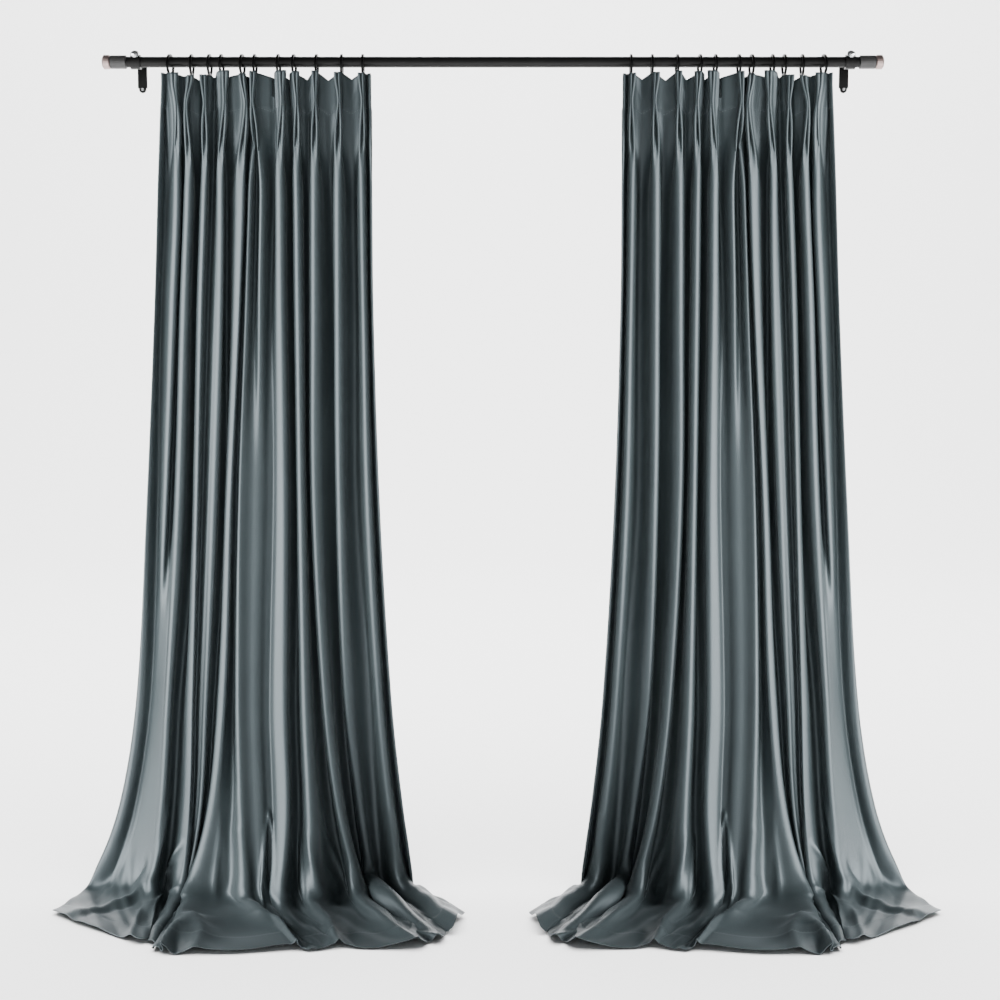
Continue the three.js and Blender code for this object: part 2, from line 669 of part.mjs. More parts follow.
const velvet = new THREE.MeshStandardMaterial({ color: 0x58646a, roughness: 0.9, metalness: 0 });
const blackMetal = new THREE.MeshStandardMaterial({ color: 0x16161a, roughness: 0.45, metalness: 0.6 });
const bronze = new THREE.MeshStandardMaterial({ color: 0xa5938f, roughness: 0.35, metalness: 0.9 });
const steel = new THREE.MeshStandardMaterial({ color: 0xc4c6c8, roughness: 0.25, metalness: 1 });

// ---- Assembly --------------------------------------------------------------------------------

const drapes = new THREE.Group();

function place(name, geometry, material, x = 0, y = 0, z = 0) {
  const mesh = new THREE.Mesh(geometry, material);
  mesh.name = name;
  mesh.position.set(x, y, z);
  drapes.add(mesh);
  return mesh;
}

const grid = drapeGrid();
place('left_drape', sheetGeometry(grid, CLOTH_THICKNESS, false), velvet);
place('right_drape', sheetGeometry(grid, CLOTH_THICKNESS, true), velvet);

place('rod', rod(), blackMetal, ROD_MIDDLE_X, 0, ROD_AXIS_HEIGHT);

// The rings are many-sided, so their clear radius is a little less than the round one.
const ringClearance = RING_INNER_DIAMETER / 2 * Math.cos(Math.PI / RING_SIDES);
const ringDrop = ROD_DIAMETER / 2 + CONTACT_GAP - ringClearance;
const ringGeometry = ring();
const hookGeometry = hook(ringDrop - RING_INNER_DIAMETER / 2);
const pleats = RIDGES.filter((ridge) => ridge.name.startsWith('pleat'));
for (const [side, sign] of [['left', 1], ['right', -1]]) {
  pleats.forEach((pleat, i) => {
    const number = String(i + 1).padStart(2, '0');
    const x = sign * pleat.x0;
    const ringMesh = place(`${side}_ring_${number}`, ringGeometry, blackMetal,
      x, 0, ROD_AXIS_HEIGHT + ringDrop);
    ringMesh.rotation.z = -sign * RING_TURNS[i] * Math.PI / 180;
    place(`${side}_hook_${number}`, hookGeometry, steel, x, 0, ROD_AXIS_HEIGHT);
  });
  const rodEnd = ROD_LENGTH / 2 + CONTACT_GAP;
  const outward = -sign;
  const collarMesh = place(`${side}_finial_collar`, collar(), blackMetal,
    ROD_MIDDLE_X + outward * rodEnd, 0, ROD_AXIS_HEIGHT);
  const capMesh = place(`${side}_finial_cap`, endCap(), bronze,
    ROD_MIDDLE_X + outward * (rodEnd + COLLAR_LENGTH + CONTACT_GAP), 0, ROD_AXIS_HEIGHT);
  if (outward < 0) {
    collarMesh.rotation.z = Math.PI;
    capMesh.rotation.z = Math.PI;
  }
  const bracketX = ROD_MIDDLE_X + outward * BRACKET_SPACING / 2;
  place(`${side}_bracket`, bracket(), blackMetal, bracketX, 0, ROD_AXIS_HEIGHT);
  place(`${side}_knob`, knob(), steel, bracketX, 0, ROD_AXIS_HEIGHT);
}

// The origin lies on the floor, under the middle of everything.
const box = new THREE.Box3().setFromObject(drapes);
const middle = box.getCenter(new THREE.Vector3());
drapes.position.set(-middle.x, -middle.y, -box.min.z);

export default drapes;
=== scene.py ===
# Pair of full-length velvet drapes on a metal curtain rod.
#
# Two gathered panels with double pinch-pleated headings hang from rings on one round rod and lie
# fanned out on the floor. Metres in the scene; the cloth tables below are in millimetres, with
# "forward" counted from the rod's axis into the room (-Y).

import math

import bpy
import numpy as np
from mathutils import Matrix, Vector


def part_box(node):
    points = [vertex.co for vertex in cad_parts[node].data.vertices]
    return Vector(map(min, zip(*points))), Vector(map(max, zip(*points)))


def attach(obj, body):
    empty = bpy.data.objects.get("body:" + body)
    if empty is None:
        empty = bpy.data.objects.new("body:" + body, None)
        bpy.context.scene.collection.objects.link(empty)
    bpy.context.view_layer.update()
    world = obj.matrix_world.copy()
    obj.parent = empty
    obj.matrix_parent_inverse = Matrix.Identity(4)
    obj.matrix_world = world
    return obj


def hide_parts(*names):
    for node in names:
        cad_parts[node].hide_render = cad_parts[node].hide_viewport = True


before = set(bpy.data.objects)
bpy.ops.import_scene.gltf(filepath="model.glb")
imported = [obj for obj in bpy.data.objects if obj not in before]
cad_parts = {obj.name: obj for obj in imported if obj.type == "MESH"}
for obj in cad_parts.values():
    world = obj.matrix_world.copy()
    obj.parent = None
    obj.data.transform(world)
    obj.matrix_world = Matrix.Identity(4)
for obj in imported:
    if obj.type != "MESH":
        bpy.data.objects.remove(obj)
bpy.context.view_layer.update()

# ---- Camera ----------------------------------------------------------------------------------
# It stands in front of the middle of the rod, a little above half of the drapes' height, and
# looks slightly down, so the fan on the floor shows.

ROD_AXIS_Y = 0.22151
CAMERA_X = 0.0077
CAMERA_DISTANCE = 4.5
CAMERA_HEIGHT = 1.45
CAMERA_TILT = 5.5
FILM_WIDTH = 36
LENS_LENGTH = 63.25


def add_object(name, data):
    """A new object in the scene."""
    placed = bpy.data.objects.new(name, data)
    bpy.context.scene.collection.objects.link(placed)
    return placed


camera_lens = bpy.data.cameras.new("camera")
camera_lens.sensor_width = FILM_WIDTH
camera_lens.lens = LENS_LENGTH
camera = add_object("camera", camera_lens)
camera.location = (CAMERA_X, ROD_AXIS_Y - CAMERA_DISTANCE, CAMERA_HEIGHT)
camera.rotation_euler = (math.radians(90 - CAMERA_TILT), 0, 0)
bpy.context.scene.camera = camera

# ---- Drapes: the folds -----------------------------------------------------------------------
# Each panel is one piece of heavy velvet, 1520 mm wide and 2438 mm long, with eleven double pinch
# pleats sewn into its stiffened heading. It hangs from them in long folds, and what is longer
# than the drop bends over and lies on the floor.

CLOTH_THICKNESS = 1.6
CUT_LENGTH = 2438
PLEAT_CLOTH = 80
GAP_CLOTH = 55
RETURN_CLOTH = 45
HALF_PLEAT = (PLEAT_CLOTH + GAP_CLOTH) / 2
HALF_END = (PLEAT_CLOTH / 2 + RETURN_CLOTH) / 2
HEADING_TOP = 2092
TRACK_HEIGHTS = [2060, 1850, 1500, 1000, 500, 220, 0]
SHARE_HEIGHTS = [2060, 1500, 1000, 500, 0]

# A row for each ridge, from the left panel's outer side edge to its inner one.
# x0 to x5, kneeX: its sideways place at each of TRACK_HEIGHTS.   top: its rise at the top edge.
# lean, pinch: how far the pleat's fingers lean at the top edge and at the pinch below it.
# low: the share of its depth that is left near the floor.   tilt: turns its crown to one side.
# crown: how sharply the cloth falls away beside it.
# kneeF, kneeZ: how far forward and how high it meets the floor.   bend: how softly it turns there.
# hemX, hemF, hemZ: where it ends at the hem.

RIDGE_COLUMNS = ("name", "x0", "top", "lean", "pinch", "x1", "x2", "x3", "x4", "x5", "low",
                 "tilt", "crown", "kneeX", "kneeF", "kneeZ", "bend", "hemX", "hemF", "hemZ")
RIDGE_ROWS = [
    ("outer_edge", -838, -1, 0, 0,
     -849, -865, -895, -931, -980, 0.6, 0, 1, -1060, 50, 3, 36, -1108, 238, 2),
    ("pleat_01", -821, 0, 17.5, 17.5,
     -802, -818, -846, -876, -912, 0.3, 0.3, 0.9, -960, 92, 2, 46, -985, 360, 3),
    ("pleat_02", -767, -8, 4, -8,
     -772, -790, -813, -845, -862, 1, 0.45, 0.8, -890, 128, 12, 32, -838, 455, 5),
    ("pleat_03", -722, -6, -11, -4,
     -731, -748, -766, -782, -789, 1, 0.45, 0.8, -808, 137, 16, 24, -818, 458, 8),
    ("pleat_04", -692, 5, 16, 14,
     -692, -701, -725, -750, -764, 0.6, 0.45, 0.5, -800, 132, 6, 26, -800, 505, 4),
    ("pleat_05", -640, -4, 6, 14,
     -639, -653, -682, -703, -732, 1, 0.45, 0.5, -788, 142, 16, 28, -765, 525, 5),
    ("pleat_06", -608, 2, 0, -5,
     -602, -614, -634, -640, -624, 1, 0.3, 1, -603, 205, 24, 14, -476, 492, 9),
    ("pleat_07", -549, 5, 15, 14,
     -546, -547, -545, -546, -535, 1, 0.45, 0.6, -549, 218, 12, 36, -420, 500, 3),
    ("pleat_08", -510, 2, 9, 10,
     -503, -502, -500, -490, -474, 0.8, 0.4, 0.9, -462, 217, 14, 30, -360, 480, 8),
    ("pleat_09", -453, 3, 0, 2,
     -458, -463, -467, -442, -407, 1, 0.45, 0.8, -350, 160, 27, 16, -181, 495, 12),
    ("pleat_10", -390, 0, -7, 1,
     -398, -402, -403, -392, -364, 1, 0.45, 0.8, -334, 82, 48, 11, -131, 455, 14),
    ("pleat_11", -337, -2, -1, 3,
     -337, -334, -326, -303, -277, 0.8, 0.3, 1, -245, 74, 8, 24, -105, 392, 4),
    ("inner_edge", -314, -3, 0, 0,
     -313, -312, -299, -272, -243, 0.5, 0, 1, -210, 65, 3, 16, -79, 261, 2),
]

# A row for each trough between two ridges.
# dip: how far the top edge sags there.   fall: the share of its depth that the heading's gap has.
# shares: its place from the outer ridge to the inner one, at each of SHARE_HEIGHTS.
# depths: the share of the flanks' full depth that it has there.
# hemX, hemF: where it ends at the hem.

TROUGH_COLUMNS = ("dip", "fall", "shares", "depths", "hemX", "hemF")
TROUGH_ROWS = [
    (3, 0.6, (0.47, 0.3, 0.47, 0.6, 0.5), (1, 0.5, 0.7, 0.7, 0.6), -1042, 300),
    (7, 0.8, (0.62, 0.35, 0.3, 0.5, 0.5), (1, 1, 0.4, 0.1, 0.1), -905, 445),
    (22, 1.2, (0.65, 0.7, 0.78, 0.42, 0.4), (1, 1, 1, 1, 1), -829, 425),
    (11, 0.7, (0.5, 0.4, 0.36, 0.3, 0.4), (1, 0.1, 0, 0, 0.3), -808, 490),
    (13, 0.8, (0.15, 0.28, 0.62, 0.45, 0.45), (1, 1, 1, 0.6, 1), -783, 518),
    (9, 1, (0.6, 0.25, 0.3, 0.38, 0.6), (1, 0.3, 0.2, 1, 1), -610, 522),
    (13, 0.5, (0.85, 0.6, 0.55, 0.45, 0.4), (1, 0.6, 0.8, 0.8, 1), -448, 508),
    (18, 1, (0.75, 0.68, 0.73, 0.5, 0.45), (1, 1, 1, 1, 1), -392, 490),
    (17, 0.6, (0.6, 0.66, 0.74, 0.8, 0.75), (1, 1, 1, 1, 1), -320, 488),
    (19, 0.6, (0.5, 0.82, 0.88, 0.85, 0.7), (1, 1, 1, 1, 1), -158, 442),
    (16, 0.5, (0.5, 0.57, 0.52, 0.65, 0.4), (1, 0.8, 0.8, 0.8, 1), -121, 375),
    (3, 0.6, (0.7, 0.65, 0.65, 0.75, 0.6), (1, 0.8, 0.8, 1, 1), -93, 315),
]

RIDGES = [dict(zip(RIDGE_COLUMNS, row)) for row in RIDGE_ROWS]
TROUGHS = [dict(zip(TROUGH_COLUMNS, row)) for row in TROUGH_ROWS]

# ---- Drapes: the surface ---------------------------------------------------------------------
# Velvet doesn't stretch, so every ridge and trough is a path of the cloth's own length, from the
# top edge over the floor's bend to the hem. Between them a flank hangs as a bent strip, whose
# direction swings as swing * sin(pi * share).

STEEPEST_SWING = 2.8
WAVE_SWINGS = np.linspace(0, STEEPEST_SWING, 281)  # rows of the table of bent strips
WAVE_SHARES = np.linspace(0, 1, 65)  # its columns
wave_angles = WAVE_SWINGS[:, None] * np.sin(math.pi * (WAVE_SHARES[1:] + WAVE_SHARES[:-1]) / 2)
wave_step = WAVE_SHARES[1]
WAVE_RUN = np.pad(np.cumsum(np.cos(wave_angles), axis=1) * wave_step, ((0, 0), (1, 0)))
WAVE_DROP = np.pad(np.cumsum(np.sin(wave_angles), axis=1) * wave_step, ((0, 0), (1, 0)))


def smooth(start, end, value):
    """From 0 at the start to 1 at the end, easing in and out."""
    share = np.clip((value - start) / (end - start), 0, 1)
    return share * share * (3 - 2 * share)


def mix(a, b, share):
    return a + (b - a) * share


def dot(a, b):
    return np.sum(a * b, axis=-1, keepdims=True)


def unit(a):
    return a / np.maximum(np.linalg.norm(a, axis=-1, keepdims=True), 1e-9)


def track(values, height, heights=TRACK_HEIGHTS):
    """A smooth curve through values given at some heights, which run downwards."""
    knots = np.array(heights, float)
    values = np.array(values, float)
    before = np.maximum(np.arange(len(knots)) - 1, 0)
    after = np.minimum(np.arange(len(knots)) + 1, len(knots) - 1)
    slope = (values[after] - values[before]) / (knots[after] - knots[before])
    z = np.clip(height, knots[-1], knots[0])
    i = np.clip(np.searchsorted(-knots, -z, side="right") - 1, 0, len(knots) - 2)
    span = knots[i + 1] - knots[i]
    s = (z - knots[i]) / span
    return (values[i] * (2 * s**3 - 3 * s**2 + 1) + slope[i] * span * (s**3 - 2 * s**2 + s)
            + values[i + 1] * (3 * s**2 - 2 * s**3) + slope[i + 1] * span * (s**3 - s**2))


def wave_at(swing, shares):
    """Run and drop of the wave after the given shares of its length, for each swing."""
    place = np.clip(swing / WAVE_SWINGS[1], 0, len(WAVE_SWINGS) - 1.001)
    i = place.astype(int)
    part = (place - i)[:, None]
    step = np.clip(np.asarray(shares) / wave_step, 0, len(WAVE_SHARES) - 1.001)
    j = step.astype(int)
    rest = step - j

    def look(table):
        upper = mix(table[i][:, j], table[i][:, j + 1], rest)
        lower = mix(table[i + 1][:, j], table[i + 1][:, j + 1], rest)
        return mix(upper, lower, part)

    return look(WAVE_RUN), look(WAVE_DROP)


TIGHTEST, FLATTEST = 0.02, 0.98  # a flank's distance as a share of its cloth


def flank_depth(cloth, distance):
    """How deep a flank of a given flat length gets when squeezed to a given distance."""
    squeeze = np.clip(distance / cloth, TIGHTEST, FLATTEST)
    swing = np.interp(-squeeze, -WAVE_RUN[:, -1], WAVE_SWINGS)
    return cloth * np.interp(swing, WAVE_SWINGS, WAVE_DROP[:, -1])


def ridge_x(index, height):
    places = ("x0", "x1", "x2", "x3", "x4", "x5", "kneeX")
    return track([RIDGES[index][key] for key in places], height)


def trough_x(index, height):
    t = TROUGHS[index]
    share = track(t["shares"], height, SHARE_HEIGHTS)
    return mix(ridge_x(index, height), ridge_x(index + 1, height), share)


def flank_cloth(trough):
    """Flat length of a flank beside a trough."""
    return HALF_END if trough in (0, len(TROUGHS) - 1) else HALF_PLEAT


def depth_at(flanks, height):
    """Mean depth of some flanks, each a (ridge, trough) pair."""
    depths = [flank_depth(flank_cloth(trough),
                          np.abs(ridge_x(ridge, height) - trough_x(trough, height)))
              for ridge, trough in flanks]
    return sum(depths) / len(flanks)


LEAN_START = 1400  # below this height a fold leaves the plumb line towards its knee
LEAN_POWER = 2.5


def path_points(path, length):
    """Where a path is after each length of cloth: it comes down, bends and runs to the hem."""
    drop = path["top"] - path["kneeZ"]
    bend = path["bend"]
    height = bend * np.logaddexp(0, (drop - length) / bend)
    run = bend * np.logaddexp(0, (length - drop) / bend)
    share = run / (bend * np.logaddexp(0, (CUT_LENGTH - drop) / bend))
    lean = np.maximum(0, 1 - height / LEAN_START) ** LEAN_POWER
    return np.stack([
        path["x"](height) + (path["hemX"] - path["kneeX"]) * share,
        -mix(path["hang"](height), path["kneeF"], lean)
        - (path["hemF"] - path["kneeF"]) * share,
        height + mix(path["kneeZ"], path["hemZ"], smooth(0, 1, share)),
    ], axis=-1)


HANG_MIDDLE = 22  # how far in front of the rod's axis the hanging folds are centred
LOW_END, LOW_START = 300, 1000
KNEE_SETBACK = 40  # how far behind the ridges a trough meets the floor


def ridge_path(index):
    ridge = RIDGES[index]
    flanks = [(index, trough) for trough in (index - 1, index) if 0 <= trough < len(TROUGHS)]

    def hang(z):
        kept = mix(1, ridge["low"], 1 - smooth(LOW_END, LOW_START, z))
        return HANG_MIDDLE + depth_at(flanks, z) / 2 * kept

    return dict(ridge, top=HEADING_TOP + ridge["top"], x=lambda z: ridge_x(index, z), hang=hang)


def trough_path(index):
    trough = TROUGHS[index]
    left, right = RIDGES[index], RIDGES[index + 1]
    flanks = [(index, index), (index + 1, index)]
    share, setback = trough["shares"][-1], KNEE_SETBACK * trough["depths"][-1]

    def hang(z):
        kept = track(trough["depths"], z, SHARE_HEIGHTS)
        return HANG_MIDDLE - depth_at(flanks, z) / 2 * kept

    return dict(
        trough, top=HEADING_TOP - trough["dip"], bend=(left["bend"] + right["bend"]) / 2,
        x=lambda z: trough_x(index, z), hang=hang,
        kneeX=mix(left["kneeX"], right["kneeX"], share),
        kneeF=mix(left["kneeF"], right["kneeF"], share) - setback,
        kneeZ=CLOTH_THICKNESS / 2, hemZ=CLOTH_THICKNESS / 2)


def flank_points(ridge, trough, across, deep, crown, shares):
    """Points between a ridge and a trough at the given shares, one row of them per path row."""
    gap = trough - ridge
    fall = dot(gap, deep)
    side = gap - deep * fall
    run = dot(side, across)
    rest = side - across * run
    depth = np.maximum(0, fall)
    slope = np.arctan2(depth, run)[:, 0]
    swing = np.interp(slope, np.arctan2(WAVE_DROP[:, -1], WAVE_RUN[:, -1]), WAVE_SWINGS)
    full_run = np.interp(swing, WAVE_SWINGS, WAVE_RUN[:, -1])[:, None]
    full_drop = np.interp(swing, WAVE_SWINGS, WAVE_DROP[:, -1])[:, None]
    wave_run, wave_drop = wave_at(swing, shares)
    scale = np.hypot(run, depth) / np.hypot(full_run, full_drop)
    left_over = np.clip(1 - wave_drop / np.maximum(full_drop, 1e-6), 0, 1)
    fallen = np.where(full_drop > 1e-6, 1 - left_over ** crown[:, None], 0)
    return (ridge[:, None] + across[:, None] * (scale * wave_run)[..., None]
            + deep[:, None] * (fall * fallen)[..., None]
            + rest[:, None] * np.asarray(shares)[None, :, None])


LYING_START, LYING_END = -50, 60  # cloth lengths before and after the knee
FLOOR_CROWN = 2


def directions(path, length):
    """How far each row lies on the floor, and its sideways and front-to-back directions."""
    lying = smooth(LYING_START, LYING_END, length - (path["top"] - path["kneeZ"]))[:, None]
    plan = unit(np.array([path["hemF"] - path["kneeF"], path["hemX"] - path["kneeX"], 0.0]))
    across = unit(mix(np.array([1.0, 0, 0]), plan, lying))
    deep = unit(mix(np.array([0, 1.0, 0]), np.array([0, 0, -1.0]), lying))
    return lying[:, 0], across, deep


# A double pinch pleat stands forward in two fingers, which are pinched together near the
# heading's lower edge. Below the pinch they open like a leaf and merge into one fold.

FINGER_DEPTH = PLEAT_CLOTH / 4
FINGER_FRONT = 48  # how far in front of the rod's axis the tips stand
FINGERS_APART = (5, 1.8)  # half the distance between the tips, at the top and at the pinch
BASE_APART = (3, 1.2)
ROOT_LEAN = 0.2
ROOT_FORWARD = 2
PINCH_DROP = 75
LEAF_LENGTH = 125
LEAF_OPENINGS = [2.5, 1.5, 3.5, 2.5, 2, 4.5, 2.5, 3, 3.5, 4, 3]
MERGE_DROP = 300


def finger_spread(index, length):
    """Half the distance between the tips of a pleat's two fingers."""
    above = mix(*FINGERS_APART, smooth(0, PINCH_DROP, length))
    leaf = np.sin(math.pi * np.clip((length - PINCH_DROP) / LEAF_LENGTH, 0, 1))
    return above + LEAF_OPENINGS[index - 1] * leaf


def moved(path, aside, y):
    """A path moved sideways and put at another depth."""
    path = path.copy()
    path[:, 0] += aside
    path[:, 1] = y
    return path


def pleated(index, side, length, middle, trough, reach):
    """Half a pinched pleat: root, finger tip, base and half the gap beside it."""
    beside = index - 1 if side < 0 else index
    ridge = RIDGES[index]
    lean = mix(ridge["lean"], ridge["pinch"], smooth(0, PINCH_DROP, length))
    lean = lean * (1 - smooth(PINCH_DROP, MERGE_DROP, length))
    tall = np.sqrt(FINGER_DEPTH**2 - lean**2)
    spread = finger_spread(index, length)
    base_y = FINGER_DEPTH - FINGER_FRONT
    half_base = mix(*BASE_APART, smooth(0, PINCH_DROP, length))
    root = moved(middle, ROOT_LEAN * lean, base_y - ROOT_FORWARD)
    tip = moved(middle, lean + side * spread, base_y - tall)
    base = moved(middle, side * half_base, base_y)
    gap_cloth = flank_cloth(beside) - 2 * FINGER_DEPTH
    gap_depth = flank_depth(gap_cloth, np.abs(trough[:, 0] - base[:, 0]))
    fall = TROUGHS[beside]["fall"]
    back = moved(trough, 0, base_y + fall * gap_depth)
    sideways = np.broadcast_to([float(side), 0, 0], middle.shape)
    behind = np.broadcast_to([0, 1.0, 0], middle.shape)
    plain = np.ones_like(length)
    finger = reach[reach < FINGER_DEPTH]
    leg = reach[(reach >= FINGER_DEPTH) & (reach < 2 * FINGER_DEPTH)]
    gap = reach[reach >= 2 * FINGER_DEPTH]
    return np.concatenate([
        flank_points(tip, root, -sideways, behind, plain, 1 - finger / FINGER_DEPTH),
        flank_points(tip, base, sideways, behind, plain, leg / FINGER_DEPTH - 1),
        flank_points(base, back, sideways, math.copysign(1, fall) * behind, plain,
                     (gap - 2 * FINGER_DEPTH) / gap_cloth)], axis=1)


SPLIT_PLEAT = 6  # this pleat stays two folds all the way down
SPLIT_SPREAD = [4, 15, 17, 20, 19, 24, 16]
SPLIT_CLOTH = 42


def doubled(index, side, length, ridge, trough, reach):
    """Half of the pleat that stays two folds, below its heading."""
    cloth = flank_cloth(index - 1 if side < 0 else index)
    middle, lying, across, deep = ridge
    height = middle[:, 2]
    spread = track(SPLIT_SPREAD, height)
    tip = middle + across * (side * spread)[:, None]
    root = middle + deep * (flank_depth(SPLIT_CLOTH, spread) * (1 - lying))[:, None]
    finger = reach[reach < SPLIT_CLOTH]
    flank = reach[reach >= SPLIT_CLOTH]
    plain = np.ones_like(length)
    return np.concatenate([
        flank_points(tip, root, -side * across, deep, plain, 1 - finger / SPLIT_CLOTH),
        flank_points(tip, trough, side * across, deep, mix(1, FLOOR_CROWN, lying),
                     (flank - SPLIT_CLOTH) / (cloth - SPLIT_CLOTH))], axis=1)


CROWN_CLOTH = 22  # how far beside a ridge its tilt reaches


def half_pleat(index, side, length, ridge, trough, reach):
    """From a pleat's middle to the trough beside it, at flat distances from the middle."""
    cloth = flank_cloth(index - 1 if side < 0 else index)
    middle, lying, across, deep = ridge
    crown = mix(RIDGES[index]["crown"], FLOOR_CROWN, lying)
    if index == SPLIT_PLEAT:
        hanging = doubled(index, side, length, ridge, trough, reach)
    else:
        hanging = flank_points(middle, trough, across * side, deep, crown, reach / cloth)
    turned = side * reach * np.exp(-(reach / CROWN_CLOTH) ** 2) * RIDGES[index]["tilt"]
    hanging = hanging - deep[:, None] * (turned[None] * (1 - lying[:, None]))[..., None]
    heading = pleated(index, side, length, middle, trough, reach)
    return mix(heading, hanging, smooth(PINCH_DROP, MERGE_DROP, length)[:, None, None])


FINGER_STEPS = 4
GAP_POINTS, END_GAP_POINTS = 7, 3
EDGE_SHARES = np.linspace(0, 1, 9)
EDGE_CURL = [0, 0, 0, 3, 9, 12, 0]  # how far the outer side edge curls forward at TRACK_HEIGHTS

# Rows are close together where the cloth turns: at the heading, the knee and the hem.

ROW_STRETCHES = [(0, 200, 5), (200, 500, 10), (500, 1600, 14), (1600, 1900, 8),
                 (1900, CUT_LENGTH, 5.6)]
ROW_LENGTHS = np.concatenate([np.arange(start, end, step) for start, end, step in ROW_STRETCHES]
                             + [[CUT_LENGTH]])


def reaches(cloth):
    """Flat distances from a pleat's middle to the trough, about 5 mm apart."""
    finger = np.arange(0, 2 * FINGER_DEPTH, FINGER_DEPTH / FINGER_STEPS)
    rest = np.linspace(2 * FINGER_DEPTH, cloth, GAP_POINTS if cloth > HALF_END else END_GAP_POINTS)
    return np.concatenate([finger, rest])


def edge_flank(ridge, trough, side, shares):
    """The plain flank beside a panel's side edge."""
    middle, lying, across, deep = ridge
    crown = mix(1, FLOOR_CROWN, lying)
    return flank_points(middle, trough, across * side, deep, crown, shares)


# Stretches of cloth that turn nearly plain: from and to which flat place, between which two
# heights, and how nearly.

CALM_STRETCHES = [(50, 205, 1000, 700, 1), (720, 850, 1750, 1050, 0.8)]
CALM_BORDER = 15


def calmed(points, flat):
    """The panel's grid with its calm stretches drawn nearly straight across."""
    for start, end, upper, lower, calmness in CALM_STRETCHES:
        first, last = np.searchsorted(flat, (start, end))
        share = (flat - flat[first]) / (flat[last] - flat[first])
        ruled = mix(points[:, first, None], points[:, last, None], share[None, :, None])
        inside = (smooth(start, start + CALM_BORDER, flat)
                  * (1 - smooth(end - CALM_BORDER, end, flat)))
        below = smooth(HEADING_TOP - upper, HEADING_TOP - lower, ROW_LENGTHS) * calmness
        points = mix(points, ruled, (below[:, None] * inside)[..., None])
    return points


def panel_grid():
    """Points of the left panel, rows down and columns across, and each column's flat place."""
    length = ROW_LENGTHS
    ridges = []
    for i in range(len(RIDGES)):
        path = ridge_path(i)
        ridges.append((path_points(path, length), *directions(path, length)))
    troughs = [path_points(trough_path(i), length) for i in range(len(TROUGHS))]
    columns = [edge_flank(ridges[0], troughs[0], 1, EDGE_SHARES[:-1])]
    curl = track(EDGE_CURL, ridges[0][0][:, 2])
    columns[0][..., 1] -= curl[:, None] * np.sin(math.pi * EDGE_SHARES[:-1])
    flat = [EDGE_SHARES[:-1] * HALF_END]
    place = HALF_END
    for i in range(1, len(ridges) - 1):
        for side, trough in ((-1, i - 1), (1, i)):
            cloth = flank_cloth(trough)
            reach = reaches(cloth)
            half = half_pleat(i, side, length, ridges[i], troughs[trough], reach)
            if side < 0:
                columns.append(half[:, ::-1])
                flat.append(place + cloth - reach[::-1])
            else:
                columns.append(half[:, 1:-1])
                flat.append(place + reach[1:-1])
            place += cloth
    columns.append(edge_flank(ridges[-1], troughs[-1], -1, EDGE_SHARES)[:, ::-1])
    flat.append(place + HALF_END - EDGE_SHARES[::-1] * HALF_END)
    flat = np.concatenate(flat)
    return calmed(np.concatenate(columns, axis=1), flat), flat


# ---- Drapes: the mesh ------------------------------------------------------------------------
# Velvet is thick, so its folds are round, and on the floor it lies in small creases and tents.
# The mesh of a panel carries the flat cloth, in metres, as its UV. The right panel is the left
# one's mirror image.

ROUNDING_START, ROUNDING_END = 150, 300  # above this the pleats stay crisp
ROUNDING_PASSES = 2

grid, flat_place = panel_grid()
rounding = smooth(ROUNDING_START, ROUNDING_END, ROW_LENGTHS)[:, None, None]
for _ in range(ROUNDING_PASSES):
    rounded = (grid[:, :-2] + 2 * grid[:, 1:-1] + grid[:, 2:]) / 4
    grid[:, 1:-1] = mix(grid[:, 1:-1], rounded, rounding)

# Small folds that cross the big ones, each with how far it reaches to the outer and the inner side
# and a run of (flat place, cloth length, lift) points. A lift below nothing is a dent.

